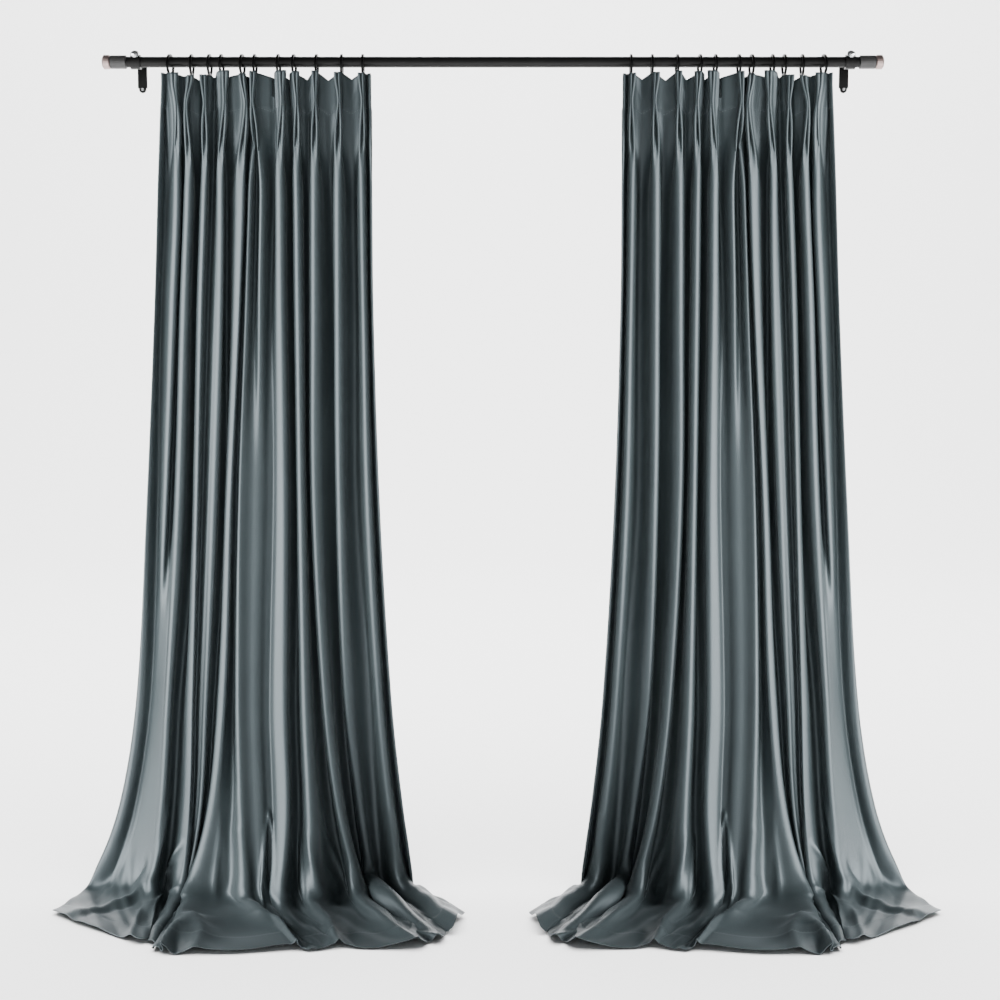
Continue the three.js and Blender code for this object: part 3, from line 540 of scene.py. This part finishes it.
CREASES = {
    "outer_thread": (7, 9,
     [(269, 1776, 0), (250, 1848, 7), (235, 1955, 8), (225, 2040, 8), (230, 2120, 6),
      (230, 2190, 0)]),
    "outer_blade": (14, 8,
     [(352, 1930, 0), (330, 1960, 12), (296, 2000, 14), (273, 2062, 12), (245, 2157, 14),
      (250, 2297, 14), (262, 2400, 4)]),
    "outer_branch": (9, 9, [(365, 2050, 0), (330, 2073, 9), (312, 2195, 0)]),
    "outer_hollow": (10, 16, [(318, 2010, 0), (300, 2120, -9), (296, 2240, -6), (310, 2330, 0)]),
    "second_tent": (9, 14, [(392, 1840, 0), (385, 1900, 8), (372, 2040, 8), (366, 2100, 0)]),
    "apron_fold": (13, 9,
     [(208, 2046, 0), (178, 2096, 7), (143, 2180, 9), (105, 2235, 8), (85, 2292, 8),
      (55, 2336, 7), (28, 2438, 6)]),
    "apron_groove": (9, 10,
     [(190, 2120, 0), (155, 2212, -5), (112, 2275, -5), (70, 2345, -4), (45, 2438, -2)]),
    "apron_dent": (14, 10, [(188, 1990, 0), (165, 2030, -6), (134, 2095, 0)]),
    "apron_edge": (10, 14, [(205, 2170, 0), (198, 2230, 8), (192, 2330, 9), (187, 2438, 8)]),
    "border_blade": (9, 9, [(500, 2215, 10), (560, 2160, 12), (615, 2095, 10), (630, 2000, 0)]),
    "flap_lip": (20, 16, [(602, 2438, 26), (606, 2390, 24), (622, 2300, 18), (640, 2230, 12),
                          (652, 2190, 0)]),
    "flap_fold": (8, 12, [(640, 2225, 6), (652, 2290, 14), (655, 2340, 16), (650, 2438, 12)]),
    "flap_hollow": (9, 9, [(628, 2300, -4), (628, 2380, -12), (630, 2438, -10)]),
    "middle_thread": (6, 8, [(655, 1846, 0), (662, 1920, 6), (665, 2034, 8), (669, 2150, 0)]),
    "middle_first": (12, 10, [(668, 1850, 0), (676, 1950, 5), (684, 2050, 0)]),
    "middle_second": (12, 10, [(712, 1776, 0), (700, 1900, 5), (686, 2040, 0)]),
    "middle_third": (10, 10, [(712, 2010, 0), (700, 2060, 7), (685, 2130, 0)]),
    "long_blade": (16, 8,
     [(714, 1900, 3), (715, 2000, 8), (716, 2095, 14), (725, 2190, 16), (758, 2280, 18),
      (764, 2400, 16), (770, 2438, 16)]),
    "long_hollow": (12, 10, [(770, 2190, 0), (792, 2280, -6), (800, 2438, -6)]),
    "finger_outer": (5, 10,
     [(829, 1858, 4), (812, 1905, 7), (795, 2010, 9), (786, 2060, 8), (752, 2160, 5),
      (728, 2200, 0)]),
    "finger_inner": (9, 6,
     [(829, 1858, 4), (842, 1880, 6), (856, 1950, 8), (876, 2060, 7), (886, 2100, 0)]),
    "small_tent": (8, 10, [(957, 1858, 0), (975, 1940, 6), (1003, 2070, 8), (1008, 2110, 0)]),
    "small_second": (7, 9, [(1018, 1890, 0), (1030, 1970, 7), (1042, 2050, 5), (1046, 2090, 0)]),
    "small_third": (7, 9, [(1064, 1980, 0), (1072, 2040, 8), (1080, 2105, 0)]),
    "inner_thread": (7, 9,
     [(1054, 1770, 0), (1065, 1888, 6), (1092, 1989, 8), (1112, 2067, 8), (1118, 2110, 0)]),
    "middle_blade": (14, 7,
     [(1014, 2000, 0), (1024, 2095, 10), (1030, 2180, 12), (1032, 2269, 13), (1022, 2390, 13),
      (1020, 2438, 13)]),
    "inner_blade": (14, 6,
     [(1155, 1990, 0), (1155, 2073, 9), (1152, 2179, 14), (1160, 2314, 14), (1165, 2438, 12)]),
    "last_blade": (14, 6,
     [(1295, 1990, 0), (1294, 2060, 8), (1288, 2135, 13), (1266, 2260, 14), (1262, 2347, 13),
      (1295, 2438, 10)]),
    "pocket": (6, 6, [(1275, 2140, 0), (1250, 2190, 8), (1218, 2262, 0)]),
    "edge_soft": (16, 16, [(1440, 1780, 0), (1440, 1880, 5), (1452, 1970, 0)]),
    "third_drag": (5, 5, [(450, 16, 0), (432, 34, 2.2), (405, 60, 2)]),
    "fourth_drag": (4, 5, [(582, 10, 1), (566, 34, 2.2), (547, 64, 0)]),
    "fourth_second_drag": (4, 4, [(575, 5, 1), (552, 28, 1.4), (540, 50, 0)]),
    "eighth_drag": (5, 5, [(1118, 20, 0), (1104, 40, 1.8), (1092, 78, 0)]),
    "ninth_drag": (5, 5, [(1228, 22, 0), (1218, 44, 1.8), (1216, 74, 0)]),
    "tenth_drag": (5, 5, [(1388, 20, 0), (1372, 44, 1.8), (1362, 72, 0)]),
    "inner_sheet": (14, 60, [(1438, 2050, 0), (1446, 2150, 24), (1450, 2438, 26)]),
}

# Slow unevenness of the cloth on the floor: waves by their length across and down the flat cloth,
# where they start and how high they are.

WANDER_WAVES = [
    (233, 610, 0.1, 5.0),
    (-151, 340, 0.6, 4.0),
    (97, 205, 0.3, 3.0),
    (-67, 149, 0.8, 2.0),
    (43, -118, 0.45, 1.0),
]
WANDER_START, WANDER_END = 1950, 2090
CREASE_FALLOFF = 1.4


def crease_lift(outer, inner, points, place, length):
    """Lift of one small fold: highest on its line, and falling off to each side."""
    lift = np.zeros(np.broadcast(place, length).shape)
    nearest = np.full(lift.shape, np.inf)
    for (s0, t0, h0), (s1, t1, h1) in zip(points, points[1:]):
        ds, dt = s1 - s0, t1 - t0
        share = np.clip(((place - s0) * ds + (length - t0) * dt) / (ds * ds + dt * dt), 0, 1)
        away_s, away_t = place - s0 - ds * share, length - t0 - dt * share
        away = np.hypot(away_s, away_t)
        inside = ds * away_t - dt * away_s < 0
        width = np.where(inside, inner, outer)
        shape = mix(h0, h1, share) * np.exp(-(away / width) ** CREASE_FALLOFF)
        lift = np.where(away < nearest, shape, lift)
        nearest = np.minimum(away, nearest)
    return lift


def wander(place, length):
    """Height of the slow unevenness, never below nothing."""
    total = 0
    for across, down, start, height in WANDER_WAVES:
        turns = place / across + length / down + start
        total = total + height * (1 + np.sin(2 * math.pi * turns)) / 2
    return total


# The stiffening inside the heading makes the face of each gap stand out a little, and the hem's
# turned-up second layer raises the face by a cloth thickness.

HEADING_BAND = 84
BAND_STEP = 1.6
HEM_DEPTH = 100
STEP_WIDTH = 8

across_cloth, down_cloth = flat_place[None, :], ROW_LENGTHS[:, None]
outward = unit(np.cross(np.gradient(grid, axis=0), np.gradient(grid, axis=1)))
hem_line = CUT_LENGTH - HEM_DEPTH
from_gap = np.abs((across_cloth - RETURN_CLOTH - PLEAT_CLOTH / 2) % (2 * HALF_PLEAT) - HALF_PLEAT)
in_gap = smooth(GAP_CLOTH / 2, GAP_CLOTH / 2 - STEP_WIDTH, from_gap)
stiffened = 1 - smooth(HEADING_BAND - STEP_WIDTH / 2, HEADING_BAND + STEP_WIDTH / 2, down_cloth)
lift = wander(across_cloth, down_cloth) * smooth(WANDER_START, WANDER_END, down_cloth)
lift = lift + CLOTH_THICKNESS * smooth(hem_line, hem_line + STEP_WIDTH, down_cloth)
lift = lift + BAND_STEP * stiffened * in_gap
for outer, inner, points in CREASES.values():
    lift = lift + crease_lift(outer, inner, points, across_cloth, down_cloth)
grid = grid + outward * lift[..., None]
grid[..., 2] = np.maximum(grid[..., 2], CLOTH_THICKNESS / 2)


def drape_mesh(name, points, mirrored):
    """A panel's piece: its grid in metres, in the part's frame, with the cloth's thickness."""
    rows, columns = points.shape[:2]
    verts = points / 1000
    if mirrored:
        verts = verts * [-1, 1, 1]
    verts = verts + [0, ROD_AXIS_Y, 0]
    index = np.arange(rows * columns).reshape(rows, columns)
    quads = np.stack([index[:-1, :-1], index[1:, :-1], index[1:, 1:], index[:-1, 1:]], axis=-1)
    quads = quads.reshape(-1, 4)
    if mirrored:
        quads = quads[:, ::-1]
    mesh = bpy.data.meshes.new(name)
    mesh.from_pydata(verts.reshape(-1, 3).tolist(), [], quads.tolist())
    u, v = np.meshgrid(flat_place / 1000, -ROW_LENGTHS / 1000)
    flat_uv = np.stack([u, v], axis=-1).reshape(-1, 2)
    cloth = mesh.uv_layers.new(name="cloth")
    cloth.data.foreach_set("uv", flat_uv[quads.reshape(-1)].reshape(-1))
    mesh.shade_smooth()
    mesh.update()
    piece = add_object(name, mesh)
    thickness = piece.modifiers.new("thickness", "SOLIDIFY")
    thickness.thickness = CLOTH_THICKNESS / 1000
    thickness.offset = 0
    return piece


left_cloth = drape_mesh("left_velvet", grid, False)
right_cloth = drape_mesh("right_velvet", grid, True)

# ---- Velvet ----------------------------------------------------------------------------------
# Short dense pile on a matt slate-grey ground. The pile leans a little differently from place to
# place, so its sheen is mottled, and fine rows of the ground weave show through it.

VELVET_DARK = (0.019, 0.0255, 0.0275)
VELVET_PALE = (0.025, 0.033, 0.035)
VELVET_SHINE = {"Specular IOR Level": 0.5, "Specular Tint": (0.8, 0.93, 1.0, 1),
                "Sheen Weight": 0.12, "Sheen Roughness": 0.4, "Sheen Tint": (0.7, 0.8, 0.85, 1)}
NAP_ROUGHNESS = (0.19, 0.23)
WEAVE_ROUGHNESS = (0.2, 0.22)
NOISE_RANGE = (0.3, 0.7)


def set_values(node, values):
    """Sets a node's plain values and gives the node back."""
    for label, value in values.items():
        node.inputs[label].default_value = value
    return node


def add_node(tree, kind, values={}):
    """A new node with its plain values set."""
    return set_values(tree.nodes.new(kind), values)


def wire(tree, *wires):
    """Links nodes, each wire a (node, output, node, input)."""
    for source, output, target, entry in wires:
        tree.links.new(source.outputs[output], target.inputs[entry])


def new_material(name, values):
    """A material with its shader's plain values set, and its tree and shader."""
    material = bpy.data.materials.new(name)
    material.use_nodes = True
    shader = set_values(material.node_tree.nodes["Principled BSDF"], values)
    return material, material.node_tree, shader


def two_tones(tree, shader, dark, pale, mask, output):
    """The shader's base colour, between a dark and a pale one by a mask."""
    shades = tree.nodes.new("ShaderNodeMix")
    shades.data_type = "RGBA"
    set_values(shades, {"A": (*dark, 1), "B": (*pale, 1)})
    wire(tree, (mask, output, shades, "Factor"), (shades, "Result", shader, "Base Color"))


velvet, velvet_tree, velvet_shader = new_material("velvet", VELVET_SHINE)
cloth_map = add_node(velvet_tree, "ShaderNodeUVMap")
cloth_map.uv_map = "cloth"


def cloth_noise(scale, detail, stretch):
    """Noise on the flat cloth, stretched across or down the panel."""
    mapping = add_node(velvet_tree, "ShaderNodeMapping", {"Scale": (*stretch, 1)})
    noise = add_node(velvet_tree, "ShaderNodeTexNoise", {"Scale": scale, "Detail": detail})
    wire(velvet_tree, (cloth_map, "UV", mapping, "Vector"), (mapping, "Vector", noise, "Vector"))
    return noise


def between(noise, low, high):
    """A noise's middle range, drawn out from one end value to the other."""
    drawn = add_node(velvet_tree, "ShaderNodeMapRange",
                     {"From Min": NOISE_RANGE[0], "From Max": NOISE_RANGE[1],
                      "To Min": low, "To Max": high})
    wire(velvet_tree, (noise, "Fac", drawn, "Value"))
    return drawn


def cloth_bump(noise, distance, strength):
    """Relief of a noise in the cloth's face, up to a distance in metres."""
    bump = add_node(velvet_tree, "ShaderNodeBump", {"Distance": distance, "Strength": strength})
    wire(velvet_tree, (noise, "Fac", bump, "Height"))
    return bump


nap = cloth_noise(scale=7, detail=3, stretch=(1, 0.6))
weave_rows = cloth_noise(scale=45, detail=2, stretch=(1, 9))
pile = cloth_noise(scale=1400, detail=1, stretch=(1, 1))
two_tones(velvet_tree, velvet_shader, VELVET_DARK, VELVET_PALE, between(nap, 0, 1), "Result")
dullness = add_node(velvet_tree, "ShaderNodeMath")
dullness.operation = "ADD"
weave_bump = cloth_bump(weave_rows, distance=0.0008, strength=0.25)
pile_bump = cloth_bump(pile, distance=0.0002, strength=0.3)
wire(velvet_tree,
     (between(nap, *NAP_ROUGHNESS), "Result", dullness, 0),
     (between(weave_rows, *WEAVE_ROUGHNESS), "Result", dullness, 1),
     (dullness, "Value", velvet_shader, "Roughness"),
     (weave_bump, "Normal", pile_bump, "Normal"),
     (pile_bump, "Normal", velvet_shader, "Normal"))

for piece, node in ((left_cloth, "left_drape"), (right_cloth, "right_drape")):
    piece.data.materials.append(velvet)
    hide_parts(node)
    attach(piece, "root")

# ---- Hem and heading stitches ----------------------------------------------------------------
# Two lines of machine stitches in grey thread go through the cloth of each panel: one holds the
# deep bottom hem, and one runs across the heading, below the stiffened band.

STITCH_SPACING = 0.008
STITCH_LENGTH = 0.0045
THREAD_RADIUS = 0.0004
THREAD_SIDES = 6
THREAD_DARK = (0.05, 0.06, 0.065)
THREAD_PALE = (0.1, 0.115, 0.12)
THREAD_ROUGHNESS = 0.6
TWIST_SCALE = 900

thread, thread_tree, thread_shader = new_material("thread", {"Roughness": THREAD_ROUGHNESS})
along_thread = add_node(thread_tree, "ShaderNodeTexCoord")
twist = add_node(thread_tree, "ShaderNodeTexNoise", {"Scale": TWIST_SCALE})
wire(thread_tree, (along_thread, "Object", twist, "Vector"))
two_tones(thread_tree, thread_shader, THREAD_DARK, THREAD_PALE, twist, "Fac")


def geometry_tree(name, sizes):
    """An empty tree with one geometry in and out and a named input for each size."""
    tree = bpy.data.node_groups.new(name, "GeometryNodeTree")
    sockets = tree.interface
    sockets.new_socket("Geometry", in_out="INPUT", socket_type="NodeSocketGeometry")
    for label, value in sizes.items():
        kind = "NodeSocketMaterial" if label == "Material" else "NodeSocketFloat"
        socket = sockets.new_socket(label, in_out="INPUT", socket_type=kind)
        socket.default_value = value
    sockets.new_socket("Geometry", in_out="OUTPUT", socket_type="NodeSocketGeometry")
    return tree, add_node(tree, "NodeGroupInput"), add_node(tree, "NodeGroupOutput")


def finish_tree(tree, placed, sizes, target):
    """Realize what was placed, shade it smooth and give it its material."""
    realize = add_node(tree, "GeometryNodeRealizeInstances")
    smooth_faces = add_node(tree, "GeometryNodeSetShadeSmooth")
    paint = add_node(tree, "GeometryNodeSetMaterial")
    wire(tree,
         (placed, "Instances", realize, "Geometry"),
         (realize, "Geometry", smooth_faces, "Geometry"),
         (smooth_faces, "Geometry", paint, "Geometry"),
         (sizes, "Material", paint, "Material"),
         (paint, "Geometry", target, "Geometry"))


def grown(name, verts, edges, tree, sizes, turns=()):
    """A new piece from points or lines: the tree runs on them and its result is a plain mesh."""
    seed = bpy.data.meshes.new(name)
    seed.from_pydata(verts, edges, [])
    if turns:
        attribute = seed.attributes.new("turn", "FLOAT_VECTOR", "POINT")
        for point, turn in zip(attribute.data, turns):
            point.vector = turn
    piece = add_object(name, seed)
    growth = piece.modifiers.new(tree.name, "NODES")
    growth.node_group = tree
    for socket in tree.interface.items_tree:
        if socket.in_out == "INPUT" and socket.name in sizes:
            growth[socket.identifier] = sizes[socket.name]
    bpy.context.view_layer.update()
    seen = piece.evaluated_get(bpy.context.evaluated_depsgraph_get())
    mesh = bpy.data.meshes.new_from_object(seen)
    piece.modifiers.clear()
    piece.data = mesh
    return piece


stitch_sizes = {"Spacing": STITCH_SPACING, "Length": STITCH_LENGTH, "Radius": THREAD_RADIUS,
                "Material": thread}
stitch_tree, sizes, target = geometry_tree("stitches", stitch_sizes)
line = add_node(stitch_tree, "GeometryNodeMeshToCurve")
steps = add_node(stitch_tree, "GeometryNodeResampleCurve")
steps.mode = "LENGTH"
stitch = add_node(stitch_tree, "GeometryNodeMeshCylinder", {"Vertices": THREAD_SIDES})
tangent = add_node(stitch_tree, "GeometryNodeInputTangent")
along = add_node(stitch_tree, "FunctionNodeAlignRotationToVector")
along.axis = "Z"
sewn = add_node(stitch_tree, "GeometryNodeInstanceOnPoints")
wire(stitch_tree,
     (sizes, "Geometry", line, "Mesh"),
     (line, "Curve", steps, "Curve"),
     (sizes, "Spacing", steps, "Length"),
     (sizes, "Length", stitch, "Depth"),
     (sizes, "Radius", stitch, "Radius"),
     (tangent, "Tangent", along, "Vector"),
     (steps, "Curve", sewn, "Points"),
     (stitch, "Mesh", sewn, "Instance"),
     (along, "Rotation", sewn, "Rotation"))
finish_tree(stitch_tree, sewn, sizes, target)

trims = {"left": [], "right": []}
for seam_name, drop in (("hem", hem_line), ("heading", HEADING_BAND)):
    row = np.argmin(np.abs(ROW_LENGTHS - drop))
    seam = grid[row] + outward[row] * (CLOTH_THICKNESS / 2)
    seam_edges = [(i, i + 1) for i in range(len(seam) - 1)]
    for side, sign in (("left", 1), ("right", -1)):
        verts = seam / 1000 * [sign, 1, 1] + [0, ROD_AXIS_Y, 0]
        stitches = grown(f"{side}_{seam_name}_stitches", verts.tolist(), seam_edges, stitch_tree,
                         stitch_sizes)
        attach(stitches, "root")
        trims[side].append(stitches)

# ---- Metal finishes --------------------------------------------------------------------------
# Rod, rings and brackets are black powder-coated steel, the end caps brushed bronze and the clamp
# knobs, hooks and screws bright nickel. Handling leaves faint uneven patches on all of them.

PATCH_DETAIL = 4
DENT_STRENGTH = 0.4
HANDLING_VALUES = {"Scale": 40.0, "Low": 0.3, "High": 0.5, "Height": 0.0001}

handling = bpy.data.node_groups.new("handling", "ShaderNodeTree")
for label, value in HANDLING_VALUES.items():
    socket = handling.interface.new_socket(label, in_out="INPUT", socket_type="NodeSocketFloat")
    socket.default_value = value
for label, kind in (("Mask", "Float"), ("Roughness", "Float"), ("Normal", "Vector")):
    handling.interface.new_socket(label, in_out="OUTPUT", socket_type=f"NodeSocket{kind}")
entry = add_node(handling, "NodeGroupInput")
leave = add_node(handling, "NodeGroupOutput")
surface = add_node(handling, "ShaderNodeTexCoord")
patches = add_node(handling, "ShaderNodeTexNoise", {"Detail": PATCH_DETAIL})
remap = add_node(handling, "ShaderNodeMapRange")
dents = add_node(handling, "ShaderNodeBump", {"Strength": DENT_STRENGTH})
wire(handling,
     (surface, "Object", patches, "Vector"),
     (entry, "Scale", patches, "Scale"),
     (patches, "Fac", remap, "Value"),
     (entry, "Low", remap, "To Min"),
     (entry, "High", remap, "To Max"),
     (patches, "Fac", dents, "Height"),
     (entry, "Height", dents, "Distance"),
     (patches, "Fac", leave, "Mask"),
     (remap, "Result", leave, "Roughness"),
     (dents, "Normal", leave, "Normal"))


def metal(name, dark, pale, metallic, specular, roughness, scale):
    """A metal whose colour and roughness wander between two values."""
    material, tree, shader = new_material(
        name, {"Metallic": metallic, "Specular IOR Level": specular})
    marks = tree.nodes.new("ShaderNodeGroup")
    marks.node_tree = handling
    set_values(marks, {"Scale": scale, "Low": roughness[0], "High": roughness[1]})
    two_tones(tree, shader, dark, pale, marks, "Mask")
    wire(tree, (marks, "Roughness", shader, "Roughness"), (marks, "Normal", shader, "Normal"))
    return material


black = metal("black_metal", dark=(0.002, 0.002, 0.002), pale=(0.004, 0.004, 0.004),
              metallic=0, specular=0.2, roughness=(0.26, 0.32), scale=25)
collar_black = metal("collar_metal", dark=(0.012, 0.012, 0.012), pale=(0.02, 0.02, 0.02),
                     metallic=0, specular=0.5, roughness=(0.3, 0.4), scale=90)
bronze = metal("bronze", dark=(0.32, 0.245, 0.23), pale=(0.44, 0.34, 0.32),
               metallic=1, specular=0.5, roughness=(0.3, 0.42), scale=120)
nickel = metal("nickel", dark=(0.5, 0.51, 0.52), pale=(0.7, 0.71, 0.72),
               metallic=1, specular=0.5, roughness=(0.18, 0.3), scale=150)
FINISHES = {"cap": bronze, "collar": collar_black, "knob": nickel, "hook": nickel}

for name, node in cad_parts.items():
    if name.endswith("drape") or "_ring_" in name:
        continue
    finish = next((FINISHES[kind] for kind in FINISHES if kind in name), black)
    node.data.materials.clear()
    node.data.materials.append(finish)

# ---- Rings -----------------------------------------------------------------------------------
# Flat-section rings, bent from black strip with softened edges. Each hangs on the rod, turned a
# little by the pull of its pleat.

RING_OUTER = 0.027
RING_INNER = 0.0215
RING_WIDTH = 0.006
RING_CORNER = 0.0009
RING_TURNS = [8, 1, 3, 3, 6, 2, 3, 5, 2, 0, 0]
HOOP_POINTS = 48
CORNER_POINTS = 2

ring_sizes = {"Radius": (RING_OUTER + RING_INNER) / 2, "Thickness": RING_OUTER - RING_INNER,
              "Width": RING_WIDTH, "Material": black}
ring_tree, sizes, target = geometry_tree("rings", ring_sizes)
hoop = add_node(ring_tree, "GeometryNodeCurvePrimitiveCircle", {"Resolution": HOOP_POINTS})
strip = add_node(ring_tree, "GeometryNodeCurvePrimitiveQuadrilateral")
corners = add_node(ring_tree, "GeometryNodeFilletCurve")
corners.mode = "POLY"
set_values(corners, {"Count": CORNER_POINTS, "Radius": RING_CORNER})
bent = add_node(ring_tree, "GeometryNodeCurveToMesh")
own_turn = add_node(ring_tree, "GeometryNodeInputNamedAttribute", {"Name": "turn"})
own_turn.data_type = "FLOAT_VECTOR"
turned = add_node(ring_tree, "FunctionNodeEulerToRotation")
threaded = add_node(ring_tree, "GeometryNodeInstanceOnPoints")
wire(ring_tree,
     (sizes, "Radius", hoop, "Radius"),
     (sizes, "Thickness", strip, "Width"),
     (sizes, "Width", strip, "Height"),
     (strip, "Curve", corners, "Curve"),
     (hoop, "Curve", bent, "Curve"),
     (corners, "Curve", bent, "Profile Curve"),
     (own_turn, "Attribute", turned, "Euler"),
     (sizes, "Geometry", threaded, "Points"),
     (bent, "Mesh", threaded, "Instance"),
     (turned, "Rotation", threaded, "Rotation"))
finish_tree(ring_tree, threaded, sizes, target)

for side, sign in (("left", 1), ("right", -1)):
    names = [f"{side}_ring_{i + 1:02d}" for i in range(len(RING_TURNS))]
    middles = [tuple((Vector(low) + Vector(high)) / 2) for low, high in map(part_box, names)]
    turns = [(0, math.pi / 2, -sign * math.radians(degrees)) for degrees in RING_TURNS]
    rings = grown(f"{side}_rings", middles, [], ring_tree, ring_sizes, turns)
    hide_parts(*names)
    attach(rings, "root")

# ---- Bracket screws --------------------------------------------------------------------------
# Each wall plate is held by two slotted pan-head screws of bright nickel, one above the arm and
# one in the lug below it.

SCREW_HEAD = 0.009
SCREW_HEIGHT = 0.0028
SCREW_SIDES = 24
FACE_SHARE = 0.75  # the domed face's width, of the head's
SLOT_WIDTH = 0.0014
SLOT_LENGTH = 0.02
SLOT_RISE = 0.8  # the middle of the cutter, of the head's height
PLATE_THICKNESS = 0.005
SCREW_HEIGHTS = (2.1335, 2.066)

screw_sizes = {"Head": SCREW_HEAD / 2, "Height": SCREW_HEIGHT, "Slot": SLOT_WIDTH,
               "Material": nickel}
screw_tree, sizes, target = geometry_tree("screws", screw_sizes)


def share_of(label, share):
    """A share of one of the screw's sizes."""
    part = add_node(screw_tree, "ShaderNodeMath", {1: share})
    part.operation = "MULTIPLY"
    wire(screw_tree, (sizes, label, part, 0))
    return part


head = add_node(screw_tree, "GeometryNodeMeshCone", {"Vertices": SCREW_SIDES})
cutter = add_node(screw_tree, "GeometryNodeMeshCube")
cutter_size = add_node(screw_tree, "ShaderNodeCombineXYZ", {"X": SLOT_LENGTH})
raised = add_node(screw_tree, "GeometryNodeTransform")
rise = add_node(screw_tree, "ShaderNodeCombineXYZ")
cut = add_node(screw_tree, "GeometryNodeMeshBoolean")
cut.operation = "DIFFERENCE"
to_room = add_node(screw_tree, "FunctionNodeEulerToRotation", {"Euler": (math.pi / 2, 0, 0)})
driven = add_node(screw_tree, "GeometryNodeInstanceOnPoints")
wire(screw_tree,
     (share_of("Head", FACE_SHARE), "Value", head, "Radius Top"),
     (sizes, "Head", head, "Radius Bottom"),
     (sizes, "Height", head, "Depth"),
     (sizes, "Slot", cutter_size, "Y"),
     (sizes, "Height", cutter_size, "Z"),
     (cutter_size, "Vector", cutter, "Size"),
     (share_of("Height", SLOT_RISE), "Value", rise, "Z"),
     (cutter, "Mesh", raised, "Geometry"),
     (rise, "Vector", raised, "Translation"),
     (head, "Mesh", cut, "Mesh 1"),
     (raised, "Geometry", cut, "Mesh 2"),
     (sizes, "Geometry", driven, "Points"),
     (cut, "Mesh", driven, "Instance"),
     (to_room, "Rotation", driven, "Rotation"))
finish_tree(screw_tree, driven, sizes, target)

for side in ("left", "right"):
    low, high = map(Vector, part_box(f"{side}_bracket"))
    front = high.y - PLATE_THICKNESS
    places = [((low.x + high.x) / 2, front, height) for height in SCREW_HEIGHTS]
    screws = grown(f"{side}_bracket_screws", places, [], screw_tree, screw_sizes)
    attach(screws, "root")

# ---- Floor and light -------------------------------------------------------------------------
# A seamless pale floor curves up into a wall far behind the rod. A wide soft lamp at each outer
# side lights its own panel, a weak one fills from the front, and two wash only the backdrop.

FLOOR_FRONT = -14.0
FLOOR_SIDE = 20
BACKDROP_START = 6.5
BACKDROP_RADIUS = 3.0
BACKDROP_TOP = 12.0
BACKDROP_TURN = range(0, 91, 6)
BACKDROP_COLOUR = (0.9, 0.9, 0.9, 1)
BACKDROP_ROUGHNESS = 0.9
KEY_PLACE = (3.0, -1.1, 1.3)
KEY_AIM = (0.6, 0.2, 1.1)
KEY_SIZE = (2.4, 3.0)
KEY_POWER = 380
ROOM_WHITE = (1, 1, 1, 1)
ROOM_LIGHT = 0.15
ROOM_SEEN = 0.75  # how bright the empty room is where it is seen itself

profile = [(FLOOR_FRONT, 0.0)]
for angle in map(math.radians, BACKDROP_TURN):
    profile.append((BACKDROP_START + BACKDROP_RADIUS * math.sin(angle),
                    BACKDROP_RADIUS * (1 - math.cos(angle))))
profile.append((BACKDROP_START + BACKDROP_RADIUS, BACKDROP_TOP))
verts = [(x, y, z) for y, z in profile for x in (-FLOOR_SIDE, FLOOR_SIDE)]
quads = [(2 * i, 2 * i + 1, 2 * i + 3, 2 * i + 2) for i in range(len(profile) - 1)]
floor_mesh = bpy.data.meshes.new("floor")
floor_mesh.from_pydata(verts, [], quads)
floor_mesh.shade_smooth()
floor = add_object("floor", floor_mesh)
pale = new_material("pale", {"Base Color": BACKDROP_COLOUR, "Roughness": BACKDROP_ROUGHNESS})[0]
floor_mesh.materials.append(pale)


def area_light(name, place, aim, size, power):
    lamp = bpy.data.lights.new(name, "AREA")
    lamp.shape = "RECTANGLE"
    lamp.size, lamp.size_y = size
    lamp.energy = power
    light = add_object(name, lamp)
    light.location = place
    ahead = Vector(aim) - Vector(place)
    light.rotation_euler = ahead.to_track_quat("-Z", "Y").to_euler()
    return light


for side, sign, piece in (("left", -1, left_cloth), ("right", 1, right_cloth)):
    lit = bpy.data.collections.new(f"{side}_lit")
    lit.objects.link(piece)
    for name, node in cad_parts.items():
        if name.startswith(side) or name == "rod":
            lit.objects.link(node)
    place, aim = ((sign * x, y, z) for x, y, z in (KEY_PLACE, KEY_AIM))
    key = area_light(f"{side}_key", place, aim, KEY_SIZE, KEY_POWER)
    key.light_linking.receiver_collection = lit
area_light("front_fill", place=(0, -5, 2.5), aim=(0, 0, 1), size=(4, 2.5), power=30)
floor_wash = area_light("floor_wash", place=(0, -1, 8), aim=(0, 1, 0), size=(12, 9), power=3100)
wall_wash = area_light("wall_wash", place=(0, 3, 8), aim=(0, 9.5, 3), size=(16, 4), power=2600)
backdrop = bpy.data.collections.new("backdrop")
backdrop.objects.link(floor)
for wash in (floor_wash, wall_wash):
    wash.light_linking.receiver_collection = backdrop

world = bpy.data.worlds.new("world")
world.use_nodes = True
room_tree = world.node_tree
room = room_tree.nodes["Background"]
set_values(room, {"Color": ROOM_WHITE, "Strength": ROOM_LIGHT})
seen = add_node(room_tree, "ShaderNodeBackground", {"Color": ROOM_WHITE, "Strength": ROOM_SEEN})
rays = add_node(room_tree, "ShaderNodeLightPath")
either = add_node(room_tree, "ShaderNodeMixShader")
wire(room_tree,
     (rays, "Is Camera Ray", either, "Fac"),
     (room, "Background", either, 1),
     (seen, "Background", either, 2),
     (either, "Shader", room_tree.nodes["World Output"], "Surface"))
bpy.context.scene.world = world
